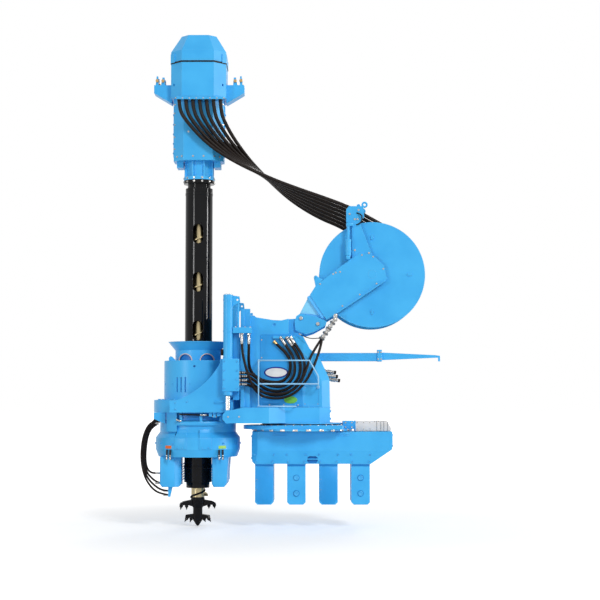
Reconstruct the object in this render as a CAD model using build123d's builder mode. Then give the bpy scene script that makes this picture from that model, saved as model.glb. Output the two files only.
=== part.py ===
"""Press-in pile driver rig: it stands on the tops of driven piles, held by four clamps, and presses
the next pile down with a hydraulic chuck while a casing auger loosens the ground inside it.
X runs along the row of piles with the chuck at minus X, Y goes across the rig, and Z is up.
The origin is midway between the four clamps, level with the pile tops. Millimetres."""

import math
import os

from build123d import *

os.makedirs("parts", exist_ok=True)

# Clamps and saddle
CLAMP_X = (-675, -225, 225, 675)
LEG_WIDTH = 260
LEG_HALF_DEPTH = 330
LEG_BOTTOM = -453
LEG_CHAMFER = 34
SADDLE_BOTTOM = 116
SADDLE_TOP = 567
SADDLE_FRONT = -847
SADDLE_REAR = 1117
SADDLE_HALF_WIDTH = 380
SADDLE_REAR_FOOT = 819
SADDLE_REAR_RISE = 320
SADDLE_CORNER = 80
SADDLE_CREASE = 300
SADDLE_TAPER = 34
SLOT_HALF_GAP = 75
SLOT_TOP = 15
JAW_WIDTH = 170
JAW_HEIGHT = 190
JAW_PLATE = 40
JAW_Z = -150
JAW_SHANK_R = 60
JAW_SHANK_LENGTH = 165
PAD_PLATE = 30
GROOVE = 9
GROOVE_PLACES = (-JAW_HEIGHT / 4, 0, JAW_HEIGHT / 4)
FIT = 0.05
GAP = 0.3

# Slide frame and slewing ring
SLEW_X = -146
SLIDE_TOP = 655
SLIDE_LIP = 600
SLIDE_BOTTOM = 575
SLIDE_RADIUS = 835
SLIDE_HALF_WIDTH = 620
SLIDE_REAR = 430
LIP_RADIUS = 700
RING_INNER = 450
RING_OUTER = 570
BLOCK_REAR = 602
BLOCK_TOP = 714
COVER_HALF_WIDTH = 150
COVER_BREAK = 880

# Mast
BASE_BOTTOM = 688
BASE_TOP = 905
ARM_TIP = -1239
BASE_FRONT = -960
BODY_HALF_WIDTH = 450
BODY_FRONT = -914
BODY_REAR = 248
BODY_TOP = 2192
NECK_HALF_WIDTH = 330
RAIL_FRONT = -1000
RAIL_FLANGE = 50
RAIL_INNER = 470
RAIL_OUTER = 600
RAIL_TOP = 2280
PLATE_INNER = RAIL_OUTER + 12
PLATE_OUTER = PLATE_INNER + 40
BARREL_R = 67
ROD_X = -1169
ROD_Y = PLATE_OUTER + BARREL_R + 6
ROD_R = 35
ROD_FOOT = 870
ROD_TOP = 1900
PISTON_LENGTH = 60
BARREL_BORE_R = 50
BARREL_BOTTOM = 1079
BARREL_TOP = 2465
CARRIER_OUTER = ROD_Y + BARREL_R + 5
ARM_INNER = ROD_Y - 55
ARM_OUTER = ROD_Y + 45
SOCKET_R = ROD_R + 9
SOCKET_BOTTOM = BASE_BOTTOM + 100
BODY_CHAMFER = 110
SIDE_HOLE = (-535, 2063)
SIDE_HOLE_R = 20
RECESS = (210, 264)
RECESS_MIDDLE = (-14, 1071)
RECESS_DEPTH = 8
LEAF = 42
PIN_R = 22
LEAF_PINS = ((-160, 2158), (77, 2078))

# Auger axis, drive unit and casing
AXIS_X = -1629
CASING_R = 195
CASING_WALL = 14
CASING_TOP = 4042
FLANGE = 50
FLANGE_R = 221
HEAD_FLANGE = CASING_TOP + 67
OUTPUT_FLANGE = HEAD_FLANGE + FLANGE
OUTPUT_R = 183
LOWER_BOTTOM = OUTPUT_FLANGE + FLANGE + 216
LOWER_HALF_X = 360
LOWER_HALF_Y = 270
LOWER_CHAMFER = 150
DRIVE_HALF = 395
DRIVE_CHAMFER = 166
DRIVE_LIP = LOWER_BOTTOM + 891
DRIVE_JOINT = DRIVE_LIP + 537
DRIVE_SHOULDER = DRIVE_JOINT + 137
DRIVE_TOP = DRIVE_SHOULDER + 248
DRIVE_TOP_HALF = 250
HOSE_TOP = DRIVE_LIP - 40
HOSE_INLET_DEPTH = 130
HOSE_INLET_WIDTH = 660
CASING_BOTTOM = -153
SHOE_R = 166
SHOE_BOTTOM = -233
WINDOW_DROPS = (662, 1354, 2047)
WINDOW_WIDTH = 150
WINDOW_HEIGHT = 285
SHAFT_R = 93.5
FLIGHT_R = 145
FLIGHT_PITCH = 341
FLIGHT_THICK = 16
FLIGHT_STOP = 470
WELD = 2

# Chuck
FRAME_BOTTOM = 835
FRAME_TOP = 1010
FRAME_FRONT = -2257
DECK_REAR = -1100
SHOE_REAR = -1012
CARRIER_BOTTOM = 1129
CARRIER_TOP = 1578
SHELL_R = 485
SHELL_TOP = 1564
FUNNEL_R = 429
FUNNEL_NECK_R = 330
FUNNEL_NECK_TOP = SHELL_TOP + 148
FUNNEL_TOP = FUNNEL_NECK_TOP + 123
ROTOR_R = 540
ROTOR_BULGE_R = 600
ROTOR_BOTTOM = 212
CHUCK_LEG_BOTTOM = -206
CHUCK_LEG_HALF_DEPTH = 380

# Hose reel
REEL_X = 846
REEL_Z = 2777
REEL_R = 748
REEL_HALF_WIDTH = 330
REEL_FLANGE = 14
REEL_CORE_R = 300
AXLE_R = 60
ARM_PLATE_INNER = 385
ARM_PLATE_OUTER = 400

side = Plane.XZ


def outline(points):
    """Fills a list of corners in the sketch that is open."""
    Polygon(*points, align=None)


# The saddle lies along the pile row and carries the clamps below and the slide frame above.
saddle_side = [
    (SADDLE_FRONT, SADDLE_TOP),
    (SADDLE_FRONT, SADDLE_BOTTOM + 30),
    (SADDLE_FRONT + 30, SADDLE_BOTTOM),
    (SADDLE_REAR_FOOT, SADDLE_BOTTOM),
    (SADDLE_REAR, SADDLE_REAR_RISE),
    (SADDLE_REAR, SADDLE_TOP),
]
saddle_plan = [
    (SADDLE_FRONT, -SADDLE_HALF_WIDTH + SADDLE_CORNER),
    (SADDLE_FRONT + SADDLE_CORNER, -SADDLE_HALF_WIDTH),
    (SADDLE_REAR, -SADDLE_HALF_WIDTH),
    (SADDLE_REAR, SADDLE_HALF_WIDTH),
    (SADDLE_FRONT + SADDLE_CORNER, SADDLE_HALF_WIDTH),
    (SADDLE_FRONT, SADDLE_HALF_WIDTH - SADDLE_CORNER),
]
saddle_section = [
    (-SADDLE_HALF_WIDTH + SADDLE_TAPER, SADDLE_BOTTOM),
    (SADDLE_HALF_WIDTH - SADDLE_TAPER, SADDLE_BOTTOM),
    (SADDLE_HALF_WIDTH, SADDLE_CREASE),
    (SADDLE_HALF_WIDTH, SADDLE_TOP),
    (-SADDLE_HALF_WIDTH, SADDLE_TOP),
    (-SADDLE_HALF_WIDTH, SADDLE_CREASE),
]
ARCH_RECESS = (146, 98)
ARCH_RECESS_Z = 175
ARCH_RECESS_DEPTH = 60
with BuildPart() as saddle:
    with BuildSketch(side):
        outline(saddle_side)
    extrude(amount=SADDLE_HALF_WIDTH, both=True)
    with BuildSketch(Plane.XY):
        outline(saddle_plan)
    extrude(amount=SADDLE_TOP, mode=Mode.INTERSECT)
    with BuildSketch(Plane.YZ.offset(SADDLE_FRONT)):
        outline(saddle_section)
    extrude(amount=SADDLE_REAR - SADDLE_FRONT, mode=Mode.INTERSECT)
    for y in (-SADDLE_HALF_WIDTH, SADDLE_HALF_WIDTH):
        with BuildSketch(side.offset(-y)):
            with Locations((0, ARCH_RECESS_Z)):
                RectangleRounded(*ARCH_RECESS, 40)
        extrude(amount=ARCH_RECESS_DEPTH, both=True, mode=Mode.SUBTRACT)
saddle.part.label = "saddle"
export_step(saddle.part, "parts/saddle.step")

# Each clamp leg straddles the pile head: a wall each side of the slot, and a bridge under the saddle.
leg_section = [
    (-LEG_HALF_DEPTH, SADDLE_BOTTOM),
    (-LEG_HALF_DEPTH, LEG_BOTTOM),
    (-SLOT_HALF_GAP, LEG_BOTTOM),
    (-SLOT_HALF_GAP, SLOT_TOP),
    (SLOT_HALF_GAP, SLOT_TOP),
    (SLOT_HALF_GAP, LEG_BOTTOM),
    (LEG_HALF_DEPTH, LEG_BOTTOM),
    (LEG_HALF_DEPTH, SADDLE_BOTTOM),
]
leg_face = [
    (-LEG_WIDTH / 2, SADDLE_BOTTOM),
    (-LEG_WIDTH / 2, LEG_BOTTOM + LEG_CHAMFER),
    (-LEG_WIDTH / 2 + LEG_CHAMFER, LEG_BOTTOM),
    (LEG_WIDTH / 2 - LEG_CHAMFER, LEG_BOTTOM),
    (LEG_WIDTH / 2, LEG_BOTTOM + LEG_CHAMFER),
    (LEG_WIDTH / 2, SADDLE_BOTTOM),
]
with BuildPart() as clamp_leg:
    with BuildSketch(Plane.YZ):
        outline(leg_section)
    extrude(amount=LEG_WIDTH / 2, both=True)
    with BuildSketch(side):
        outline(leg_face)
    extrude(amount=LEG_HALF_DEPTH, both=True, mode=Mode.INTERSECT)
    with Locations((0, -SLOT_HALF_GAP + PAD_PLATE / 2, JAW_Z)):
        Box(JAW_WIDTH, PAD_PLATE, JAW_HEIGHT)
    with Locations((0, -SLOT_HALF_GAP + PAD_PLATE, JAW_Z)):
        with Locations(*[(0, 0, z) for z in GROOVE_PLACES]):
            Box(JAW_WIDTH, 2 * GROOVE, GROOVE, mode=Mode.SUBTRACT)
    with Locations(Location((0, SLOT_HALF_GAP, JAW_Z), (-90, 0, 0))):
        Cylinder(
            JAW_SHANK_R + FIT,
            JAW_SHANK_LENGTH + 10,
            align=(Align.CENTER, Align.CENTER, Align.MIN),
            mode=Mode.SUBTRACT,
        )
with BuildPart() as clamp_legs:
    with Locations(*[(x, 0, 0) for x in CLAMP_X]):
        add(clamp_leg.part)
clamp_legs.part.label = "clamp_legs"
export_step(clamp_legs.part, "parts/clamp_legs.step")

# The moving jaws press the pile head against the fixed pads.
for number, x in enumerate(CLAMP_X, 1):
    with BuildPart() as clamp_jaw:
        with Locations((x, SLOT_HALF_GAP - JAW_PLATE / 2, JAW_Z)):
            Box(JAW_WIDTH, JAW_PLATE, JAW_HEIGHT)
        with Locations((x, SLOT_HALF_GAP - JAW_PLATE, JAW_Z)):
            with Locations(*[(0, 0, z) for z in GROOVE_PLACES]):
                Box(JAW_WIDTH, 2 * GROOVE, GROOVE, mode=Mode.SUBTRACT)
        with Locations(Location((x, SLOT_HALF_GAP, JAW_Z), (-90, 0, 0))):
            Cylinder(JAW_SHANK_R, JAW_SHANK_LENGTH, align=(Align.CENTER, Align.CENTER, Align.MIN))
    clamp_jaw.part.label = f"clamp_jaw_{number}"
    export_step(clamp_jaw.part, f"parts/clamp_jaw_{number}.step")

# The slide frame travels along the saddle on wear strips and carries the slewing ring.
STRIP_Y = SADDLE_HALF_WIDTH - 90
STRIP_LENGTH = 1200
STRIP_WIDTH = 80
with BuildPart() as slide_frame:
    with BuildSketch(Plane.XY.offset(SLIDE_LIP)):
        with Locations((SLEW_X, 0)):
            Circle(SLIDE_RADIUS)
        with Locations((SLEW_X, 0)):
            Rectangle(2 * SLIDE_RADIUS, 2 * SLIDE_HALF_WIDTH, mode=Mode.INTERSECT)
        with Locations((SLIDE_REAR, 0)):
            Rectangle(
                2 * SLIDE_RADIUS,
                2 * SLIDE_HALF_WIDTH,
                align=(Align.MIN, Align.CENTER),
                mode=Mode.SUBTRACT,
            )
    extrude(amount=SLIDE_TOP - SLIDE_LIP)
    with BuildSketch(Plane.XY.offset(SLIDE_BOTTOM)):
        with Locations((SLEW_X, 0)):
            Circle(LIP_RADIUS)
    extrude(amount=SLIDE_LIP - SLIDE_BOTTOM)
    with BuildSketch(Plane.XY.offset(SADDLE_TOP + GAP)):
        with Locations((SLEW_X, -STRIP_Y), (SLEW_X, STRIP_Y)):
            Rectangle(STRIP_LENGTH, STRIP_WIDTH)
    extrude(amount=SLIDE_BOTTOM - SADDLE_TOP - GAP)
slide_frame.part.label = "slide_frame"
export_step(slide_frame.part, "parts/slide_frame.step")

with BuildPart() as slew_ring:
    with BuildSketch(Plane.XY.offset(SLIDE_TOP)):
        with Locations((SLEW_X, 0)):
            Circle(RING_OUTER)
            Circle(RING_INNER, mode=Mode.SUBTRACT)
    extrude(amount=BASE_BOTTOM - GAP - SLIDE_TOP)
slew_ring.part.label = "slew_ring"
export_step(slew_ring.part, "parts/slew_ring.step")

# Behind the ring stand the slide cylinder's bracket and its ribbed cover.
with BuildPart() as slide_bracket:
    with BuildSketch(side):
        outline(
            [
                (SLIDE_REAR, SLIDE_LIP),
                (BLOCK_REAR, SLIDE_LIP),
                (BLOCK_REAR, BLOCK_TOP - 20),
                (BLOCK_REAR - 20, BLOCK_TOP),
                (SLIDE_REAR, BLOCK_TOP),
            ]
        )
    extrude(amount=COVER_HALF_WIDTH, both=True)
slide_bracket.part.label = "slide_bracket"
export_step(slide_bracket.part, "parts/slide_bracket.step")

with BuildPart() as slide_cover:
    with BuildSketch(side):
        outline(
            [
                (BLOCK_REAR, SLIDE_BOTTOM),
                (SADDLE_REAR, SLIDE_BOTTOM),
                (SADDLE_REAR, SLIDE_BOTTOM + 30),
                (SADDLE_REAR - 60, BLOCK_TOP),
                (BLOCK_REAR, BLOCK_TOP),
            ]
        )
    extrude(amount=COVER_HALF_WIDTH, both=True)
    for rib in range(6):
        with BuildSketch(side):
            with Locations((COVER_BREAK + rib * 30, BLOCK_TOP)):
                Rectangle(14, 24)
        extrude(amount=COVER_HALF_WIDTH, both=True, mode=Mode.SUBTRACT)
slide_cover.part.label = "slide_cover"
export_step(slide_cover.part, "parts/slide_cover.step")

# The mast base turns on the ring and reaches forward with an arm each side of the chuck.
base_plan = [
    (ARM_TIP, ARM_INNER),
    (ARM_TIP, ARM_OUTER),
    (-600, ARM_OUTER),
    (-380, 540),
    (100, 480),
    (BODY_REAR, 380),
    (BODY_REAR, -380),
    (100, -480),
    (-380, -540),
    (-600, -ARM_OUTER),
    (ARM_TIP, -ARM_OUTER),
    (ARM_TIP, -ARM_INNER),
    (BASE_FRONT, -ARM_INNER),
    (BASE_FRONT, ARM_INNER),
]
base_side = [
    (ARM_TIP, BASE_BOTTOM + 50),
    (ARM_TIP + 50, BASE_BOTTOM),
    (BODY_REAR, BASE_BOTTOM),
    (BODY_REAR, BASE_TOP),
    (BASE_FRONT, BASE_TOP),
    (ARM_TIP + 40, 850),
    (ARM_TIP, 810),
]
with BuildPart() as mast_base:
    with BuildSketch(Plane.XY.offset(BASE_BOTTOM)):
        outline(base_plan)
    extrude(amount=BASE_TOP - BASE_BOTTOM)
    with BuildSketch(side):
        outline(base_side)
    extrude(amount=ARM_OUTER, both=True, mode=Mode.INTERSECT)
    for y in (-ROD_Y, ROD_Y):
        with BuildSketch(Plane.XY.offset(SOCKET_BOTTOM)):
            with Locations((ROD_X, y)):
                Circle(SOCKET_R)
        extrude(amount=ROD_FOOT - SOCKET_BOTTOM)
mast_base.part.label = "mast_base"
export_step(mast_base.part, "parts/mast_base.step")

# The mast body holds the valves and pipes; its side outline steps down behind the reel's bracket.
NECK_FRONT = -333
NECK_BOTTOM = 1900
SLOPE_START = -226
body_side = [
    (BODY_FRONT, BASE_TOP),
    (BODY_FRONT, BODY_TOP),
    (-816, BODY_TOP),
    (-785, 2167),
    (-552, 2129),
    (-434, 2124),
    (NECK_FRONT, 2148),
    (SLOPE_START, 2155),
    (-134, 1913),
    (-39, 1734),
    (107, 1593),
    (188, 1413),
    (240, 1298),
    (BODY_REAR, BASE_TOP),
]
leaf_side = [
    (-240, 1990),
    (-250, 2110),
    (-225, 2190),
    (-170, 2224),
    (60, 2180),
    (200, 2120),
    (190, 2060),
    (20, 1965),
    (-90, 1930),
]
with BuildPart() as mast_body:
    with BuildSketch(side):
        outline(body_side)
    extrude(amount=BODY_HALF_WIDTH, both=True)
    slope_edges = []
    for edge in mast_body.edges():
        middle = edge.center()
        on_side = abs(abs(middle.Y) - BODY_HALF_WIDTH) < 1
        if on_side and middle.X > SLOPE_START and middle.Z > BASE_TOP + 1:
            slope_edges.append(edge)
    chamfer(slope_edges, BODY_CHAMFER)
    for start in (NECK_HALF_WIDTH, -BODY_HALF_WIDTH):
        with BuildSketch(side.offset(start)):
            with Locations((NECK_FRONT, NECK_BOTTOM)):
                Rectangle(
                    BODY_REAR - NECK_FRONT,
                    BODY_TOP - NECK_BOTTOM,
                    align=(Align.MIN, Align.MIN),
                )
        extrude(amount=BODY_HALF_WIDTH - NECK_HALF_WIDTH, mode=Mode.SUBTRACT)
    for start in (NECK_HALF_WIDTH, -NECK_HALF_WIDTH - LEAF):
        with BuildSketch(side.offset(start)):
            outline(leaf_side)
            with Locations(*LEAF_PINS):
                Circle(PIN_R + FIT, mode=Mode.SUBTRACT)
        extrude(amount=LEAF)
    for start in (BODY_HALF_WIDTH - SIDE_HOLE_R, -BODY_HALF_WIDTH):
        with BuildSketch(side.offset(start)):
            with Locations(SIDE_HOLE):
                Circle(SIDE_HOLE_R)
        extrude(amount=SIDE_HOLE_R, mode=Mode.SUBTRACT)
    with BuildSketch(side.offset(BODY_HALF_WIDTH - RECESS_DEPTH)):
        with Locations(RECESS_MIDDLE):
            Rectangle(*RECESS)
    extrude(amount=RECESS_DEPTH, mode=Mode.SUBTRACT)
mast_body.part.label = "mast_body"
export_step(mast_body.part, "parts/mast_body.step")

# Two rails of T section on the mast's front guide the chuck frame.
WEB_INNER = RAIL_INNER + 45
WEB_OUTER = RAIL_OUTER - 45
RAIL_FOOT = 44
rail_section = [
    (RAIL_FRONT, RAIL_INNER),
    (RAIL_FRONT, RAIL_OUTER),
    (RAIL_FRONT + RAIL_FLANGE, RAIL_OUTER),
    (RAIL_FRONT + RAIL_FLANGE, WEB_OUTER),
    (BODY_FRONT, WEB_OUTER),
    (BODY_FRONT, WEB_INNER),
    (RAIL_FRONT + RAIL_FLANGE, WEB_INNER),
    (RAIL_FRONT + RAIL_FLANGE, RAIL_INNER),
]
with BuildPart() as mast_rails:
    with BuildSketch(Plane.XY.offset(BASE_TOP)):
        outline(rail_section)
    extrude(amount=RAIL_TOP - BASE_TOP)
    with BuildSketch(Plane.XY.offset(BASE_TOP)):
        outline(
            [
                (BODY_FRONT, WEB_OUTER),
                (BODY_FRONT, BODY_HALF_WIDTH),
                (BODY_FRONT + RAIL_FOOT, BODY_HALF_WIDTH),
                (BODY_FRONT + RAIL_FOOT, WEB_OUTER),
            ]
        )
    extrude(amount=RAIL_TOP - BASE_TOP)
    mirror(about=Plane.XZ)
mast_rails.part.label = "mast_rails"
export_step(mast_rails.part, "parts/mast_rails.step")

# Chrome rods stand on the arm tips; the stroke cylinders' barrels climb them.
with BuildPart() as stroke_rods:
    for y in (-ROD_Y, ROD_Y):
        with BuildSketch(Plane.XY.offset(ROD_FOOT)):
            with Locations((ROD_X, y)):
                Circle(ROD_R)
        extrude(amount=ROD_TOP - ROD_FOOT)
        with BuildSketch(Plane.XY.offset(ROD_TOP - PISTON_LENGTH)):
            with Locations((ROD_X, y)):
                Circle(BARREL_BORE_R - FIT)
        extrude(amount=PISTON_LENGTH)
stroke_rods.part.label = "stroke_rods"
export_step(stroke_rods.part, "parts/stroke_rods.step")


def hose_path(points):
    """Straight runs joined by tangent arcs, each as large as its two runs allow."""
    corners = [Vector(*p) for p in points]
    radii = []
    for before, here, after in zip(corners, corners[1:], corners[2:]):
        turn = (here - before).get_angle(after - here)
        shorter = min((here - before).length, (after - here).length)
        radii.append(0.45 * shorter / math.tan(math.radians(turn / 2)))
    return FilletPolyline(*corners, radius=radii)


def hose(points, radius):
    """Adds a hose of round section along its path to the part that is open."""
    with BuildLine() as line:
        hose_path(points)
    with BuildSketch(Plane(origin=line.line @ 0, z_dir=line.line % 0)) as section:
        Circle(radius)
    sweep(section.sketch, path=line.line)


# A guard of bent tube keeps hands off the hose loops on the near side.
GUARD_Y = -BODY_HALF_WIDTH - 150
GUARD_R = 17
GUARD_LEFT = -746
GUARD_POST = GUARD_LEFT + 90
GUARD_RIGHT = 90
GUARD_HIGH = 1571
GUARD_MID = 1242
GUARD_LOW = 940
GUARD_LOW_LENGTH = 480
GUARD_ELBOW = GUARD_HIGH - 162
GUARD_END = 1087
with BuildPart() as guard_rail:
    hose(
        [
            (GUARD_LEFT, -BODY_HALF_WIDTH, GUARD_HIGH),
            (GUARD_LEFT, GUARD_Y, GUARD_HIGH),
            (GUARD_RIGHT - 150, GUARD_Y, GUARD_HIGH),
            (GUARD_RIGHT, GUARD_Y, GUARD_ELBOW),
            (GUARD_RIGHT, GUARD_Y, GUARD_END),
            (GUARD_RIGHT, -BODY_HALF_WIDTH, GUARD_END),
        ],
        GUARD_R,
    )
    with BuildSketch(Plane.XY.offset(GUARD_LOW)):
        with Locations((GUARD_POST, GUARD_Y)):
            Circle(GUARD_R)
    extrude(amount=GUARD_HIGH - GUARD_LOW)
    with BuildSketch(Plane.YZ.offset(GUARD_POST)):
        with Locations((GUARD_Y, GUARD_MID)):
            Circle(GUARD_R)
    extrude(amount=GUARD_RIGHT - GUARD_POST)
    with BuildSketch(Plane.YZ.offset(GUARD_POST)):
        with Locations((GUARD_Y, GUARD_LOW)):
            Circle(GUARD_R)
    extrude(amount=GUARD_LOW_LENGTH)
    with BuildSketch(side.offset(BODY_HALF_WIDTH)):
        with Locations((GUARD_POST, GUARD_LOW), (GUARD_POST + GUARD_LOW_LENGTH, GUARD_LOW)):
            Circle(GUARD_R)
    extrude(amount=-GUARD_Y - BODY_HALF_WIDTH)
guard_rail.part.label = "guard_rail"
export_step(guard_rail.part, "parts/guard_rail.step")

# The reel's arm has a plate each side of the reel and a foot that is pinned to the mast body.
arm_side = [
    (-37, 2484),
    (200, 2133),
    (334, 2214),
    (1024, 2673),
    (1051, 2714),
    (1011, 2903),
    (849, 3052),
    (686, 3085),
    (565, 3011),
    (50, 2619),
]
arm_lip = [(350, 2224.6), (1024, 2673), (1016, 2685), (342, 2236.6)]
LIP_REACH = 26
for name, start, lip_start in (
    ("reel_arm_near", ARM_PLATE_INNER, ARM_PLATE_OUTER),
    ("reel_arm_far", -ARM_PLATE_OUTER, -ARM_PLATE_OUTER - LIP_REACH),
):
    with BuildPart() as reel_arm:
        with BuildSketch(side.offset(start)):
            outline(arm_side)
        extrude(amount=ARM_PLATE_OUTER - ARM_PLATE_INNER)
        with BuildSketch(side.offset(lip_start)):
            outline(arm_lip)
        extrude(amount=LIP_REACH)
        with BuildSketch(side.offset(start)):
            with Locations((REEL_X, REEL_Z)):
                Circle(AXLE_R)
        extrude(amount=ARM_PLATE_OUTER - ARM_PLATE_INNER, mode=Mode.SUBTRACT)
    reel_arm.part.label = name
    export_step(reel_arm.part, f"parts/{name}.step")

foot_side = [
    (-44, 2480),
    (-154, 2271),
    (-195, 2180),
    (-170, 2120),
    (60, 2040),
    (120, 2070),
    (190, 2145),
]
FOOT_PLATE = 28
PIN_HEAD = 12
with BuildPart() as reel_arm_foot:
    for start in (NECK_HALF_WIDTH - FOOT_PLATE, -NECK_HALF_WIDTH):
        with BuildSketch(side.offset(start)):
            outline(foot_side)
        extrude(amount=FOOT_PLATE)
    for start in (NECK_HALF_WIDTH, -NECK_HALF_WIDTH - LEAF - PIN_HEAD):
        with BuildSketch(side.offset(start)):
            with Locations(*LEAF_PINS):
                Circle(PIN_R)
        extrude(amount=LEAF + PIN_HEAD)
    with BuildSketch(side):
        outline([(-37, 2480), (170, 2175), (135, 2155), (-72, 2458)])
    extrude(amount=ARM_PLATE_INNER, both=True)
    with BuildSketch(side):
        outline([(-20, 2470), (180, 2175), (170, 2175), (-37, 2470)])
    extrude(amount=ARM_PLATE_INNER, both=True)
reel_arm_foot.part.label = "reel_arm_foot"
export_step(reel_arm_foot.part, "parts/reel_arm_foot.step")

with BuildPart() as reel_axle:
    with BuildSketch(side):
        with Locations((REEL_X, REEL_Z)):
            Circle(AXLE_R)
    extrude(amount=ARM_PLATE_OUTER + 20, both=True)
reel_axle.part.label = "reel_axle"
export_step(reel_axle.part, "parts/reel_axle.step")

# The reel's drum has a flange each side, with a boss at each quarter of the near one.
BOSS_CIRCLE_R = 530
with BuildPart() as reel_drum:
    with BuildSketch(side):
        with Locations((REEL_X, REEL_Z)):
            Circle(REEL_CORE_R)
    extrude(amount=REEL_HALF_WIDTH, both=True)
    for start in (REEL_HALF_WIDTH - REEL_FLANGE, -REEL_HALF_WIDTH):
        with BuildSketch(side.offset(start)):
            with Locations((REEL_X, REEL_Z)):
                Circle(REEL_R)
        extrude(amount=REEL_FLANGE)
    with BuildSketch(side.offset(REEL_HALF_WIDTH)):
        with Locations((REEL_X, REEL_Z)):
            with PolarLocations(BOSS_CIRCLE_R, 4):
                SlotOverall(70, 34)
    extrude(amount=16)
    with BuildSketch(side):
        with Locations((REEL_X, REEL_Z)):
            Circle(AXLE_R + FIT)
    extrude(amount=REEL_HALF_WIDTH, both=True, mode=Mode.SUBTRACT)
reel_drum.part.label = "reel_drum"
export_step(reel_drum.part, "parts/reel_drum.step")

# Seven hoses feed the drive unit. Each has its own lane on the reel, wound to its own height.
HOSE_R = 24
HOSE_COUNT = 7
LANE = 96
lanes = [LANE * (i - 3) for i in range(HOSE_COUNT)]
WOUND_LARGEST = REEL_R - 58
WOUND_STEP = 48
wound = [WOUND_LARGEST - WOUND_STEP * i for i in range(HOSE_COUNT)]
with BuildPart() as hose_winding:
    for y, height in zip(lanes, wound):
        with BuildSketch(side.offset(-y)):
            with Locations((REEL_X, REEL_Z)):
                Circle(height - HOSE_R - 1)
                Circle(REEL_CORE_R, mode=Mode.SUBTRACT)
        extrude(amount=HOSE_R, both=True)
hose_winding.part.label = "hose_winding"
export_step(hose_winding.part, "parts/hose_winding.step")

# The ribbon of hoses twists on its way: the stations of its outermost two hoses, as (X, Z), and how
# far the ribbon has turned from the drive unit's row into the lanes of the reel.
HOSE_ROW_Y = -375
first_edge = [
    (-1893, HOSE_TOP),
    (-1893, 5136),
    (-1787, 4960),
    (-1504, 4652),
    (-1137, 4407),
    (-620, 4165),
    (-230, 4017),
    (168, 3880),
    (544, 3738),
]
last_edge = [
    (-1307, HOSE_TOP),
    (-1307, 5136),
    (-1170, 4932),
    (-1021, 4693),
    (-830, 4430),
    (-560, 4150),
    (-289, 3900),
    (83, 3663),
    (410, 3473),
]
turned = [0, 0, 0.02, 0.17, 0.62, 0.95, 1, 1, 1]


def tangent_point(x, z, radius):
    """Where a straight hose from (x, z) first touches a circle about the reel's axle."""
    dx, dz = x - REEL_X, z - REEL_Z
    angle = math.atan2(dz, dx) - math.acos(radius / math.hypot(dx, dz))
    return REEL_X + radius * math.cos(angle), REEL_Z + radius * math.sin(angle)


with BuildPart() as motor_hoses:
    for i, (lane, height) in enumerate(zip(lanes, wound)):
        share = i / (HOSE_COUNT - 1)
        route = []
        for (x0, z0), (x1, z1), turn in zip(first_edge, last_edge, turned):
            y = HOSE_ROW_Y + turn * (lane - HOSE_ROW_Y)
            route.append((x0 + share * (x1 - x0), y, z0 + share * (z1 - z0)))
        end_x, end_z = tangent_point(route[-1][0], route[-1][2], height)
        route.append(((route[-1][0] + end_x) / 2, lane, (route[-1][2] + end_z) / 2 + 6))
        route.append((end_x, lane, end_z))
        hose(route, HOSE_R)
motor_hoses.part.label = "motor_hoses"
export_step(motor_hoses.part, "parts/motor_hoses.step")

# A guide stands on the reel's arm and leads the hoses onto the reel.
GUIDE_INNER = ARM_PLATE_INNER - 27
CROSS_TUBE = (655, 3752)
CROSS_TUBE_R = 26
GUIDE_EYE = (740, 3766)
GUIDE_EYE_R = 19
post_side = [
    (563, 2960),
    (563, 3047),
    (558, 3499),
    (480, 3516),
    (480, 3700),
    (520, 3746),
    (720, 3746),
    (736, 3600),
    (678, 3499),
    (847, 3047),
    (847, 2990),
]
with BuildPart() as hose_guide:
    for start in (GUIDE_INNER, -ARM_PLATE_INNER):
        with BuildSketch(side.offset(start)):
            outline(post_side)
        extrude(amount=ARM_PLATE_INNER - GUIDE_INNER)
    with BuildSketch(side):
        with Locations(CROSS_TUBE):
            Circle(CROSS_TUBE_R)
    extrude(amount=GUIDE_INNER, both=True)
    for start in (GUIDE_INNER, -ARM_PLATE_INNER):
        with BuildSketch(side.offset(start)):
            with Locations(GUIDE_EYE):
                Circle(GUIDE_EYE_R + 25)
        extrude(amount=ARM_PLATE_INNER - GUIDE_INNER)
        with BuildSketch(side.offset(start)):
            with Locations(GUIDE_EYE):
                Circle(GUIDE_EYE_R)
        extrude(amount=ARM_PLATE_INNER - GUIDE_INNER, mode=Mode.SUBTRACT)
hose_guide.part.label = "hose_guide"
export_step(hose_guide.part, "parts/hose_guide.step")

# A small cylinder beside the near post steadies the guide: its shoe, barrel, rod and head.
GUIDE_ROD = (503, -452)
SHOE_BOTTOM_Z = 2790
GUIDE_BARREL_BOTTOM = 2990
GUIDE_BARREL_LENGTH = 257
GUIDE_ROD_LENGTH = 200
with BuildPart() as guide_cylinder:
    with BuildSketch(Plane.XY.offset(GUIDE_BARREL_BOTTOM)):
        with Locations(GUIDE_ROD):
            Circle(50)
    extrude(amount=GUIDE_BARREL_LENGTH)
    with BuildSketch(Plane.XY.offset(GUIDE_BARREL_BOTTOM + GUIDE_BARREL_LENGTH)):
        with Locations(GUIDE_ROD):
            Circle(25)
    extrude(amount=GUIDE_ROD_LENGTH)
    with BuildSketch(side.offset(ARM_PLATE_OUTER)):
        with Locations((GUIDE_ROD[0], SHOE_BOTTOM_Z)):
            Rectangle(
                90,
                GUIDE_BARREL_BOTTOM - SHOE_BOTTOM_Z,
                align=(Align.CENTER, Align.MIN),
            )
    extrude(amount=90)
    with BuildSketch(side.offset(ARM_PLATE_INNER)):
        with Locations((GUIDE_ROD[0] + 27, GUIDE_BARREL_BOTTOM + GUIDE_BARREL_LENGTH + 208)):
            Rectangle(110, 60)
    extrude(amount=92)
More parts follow.
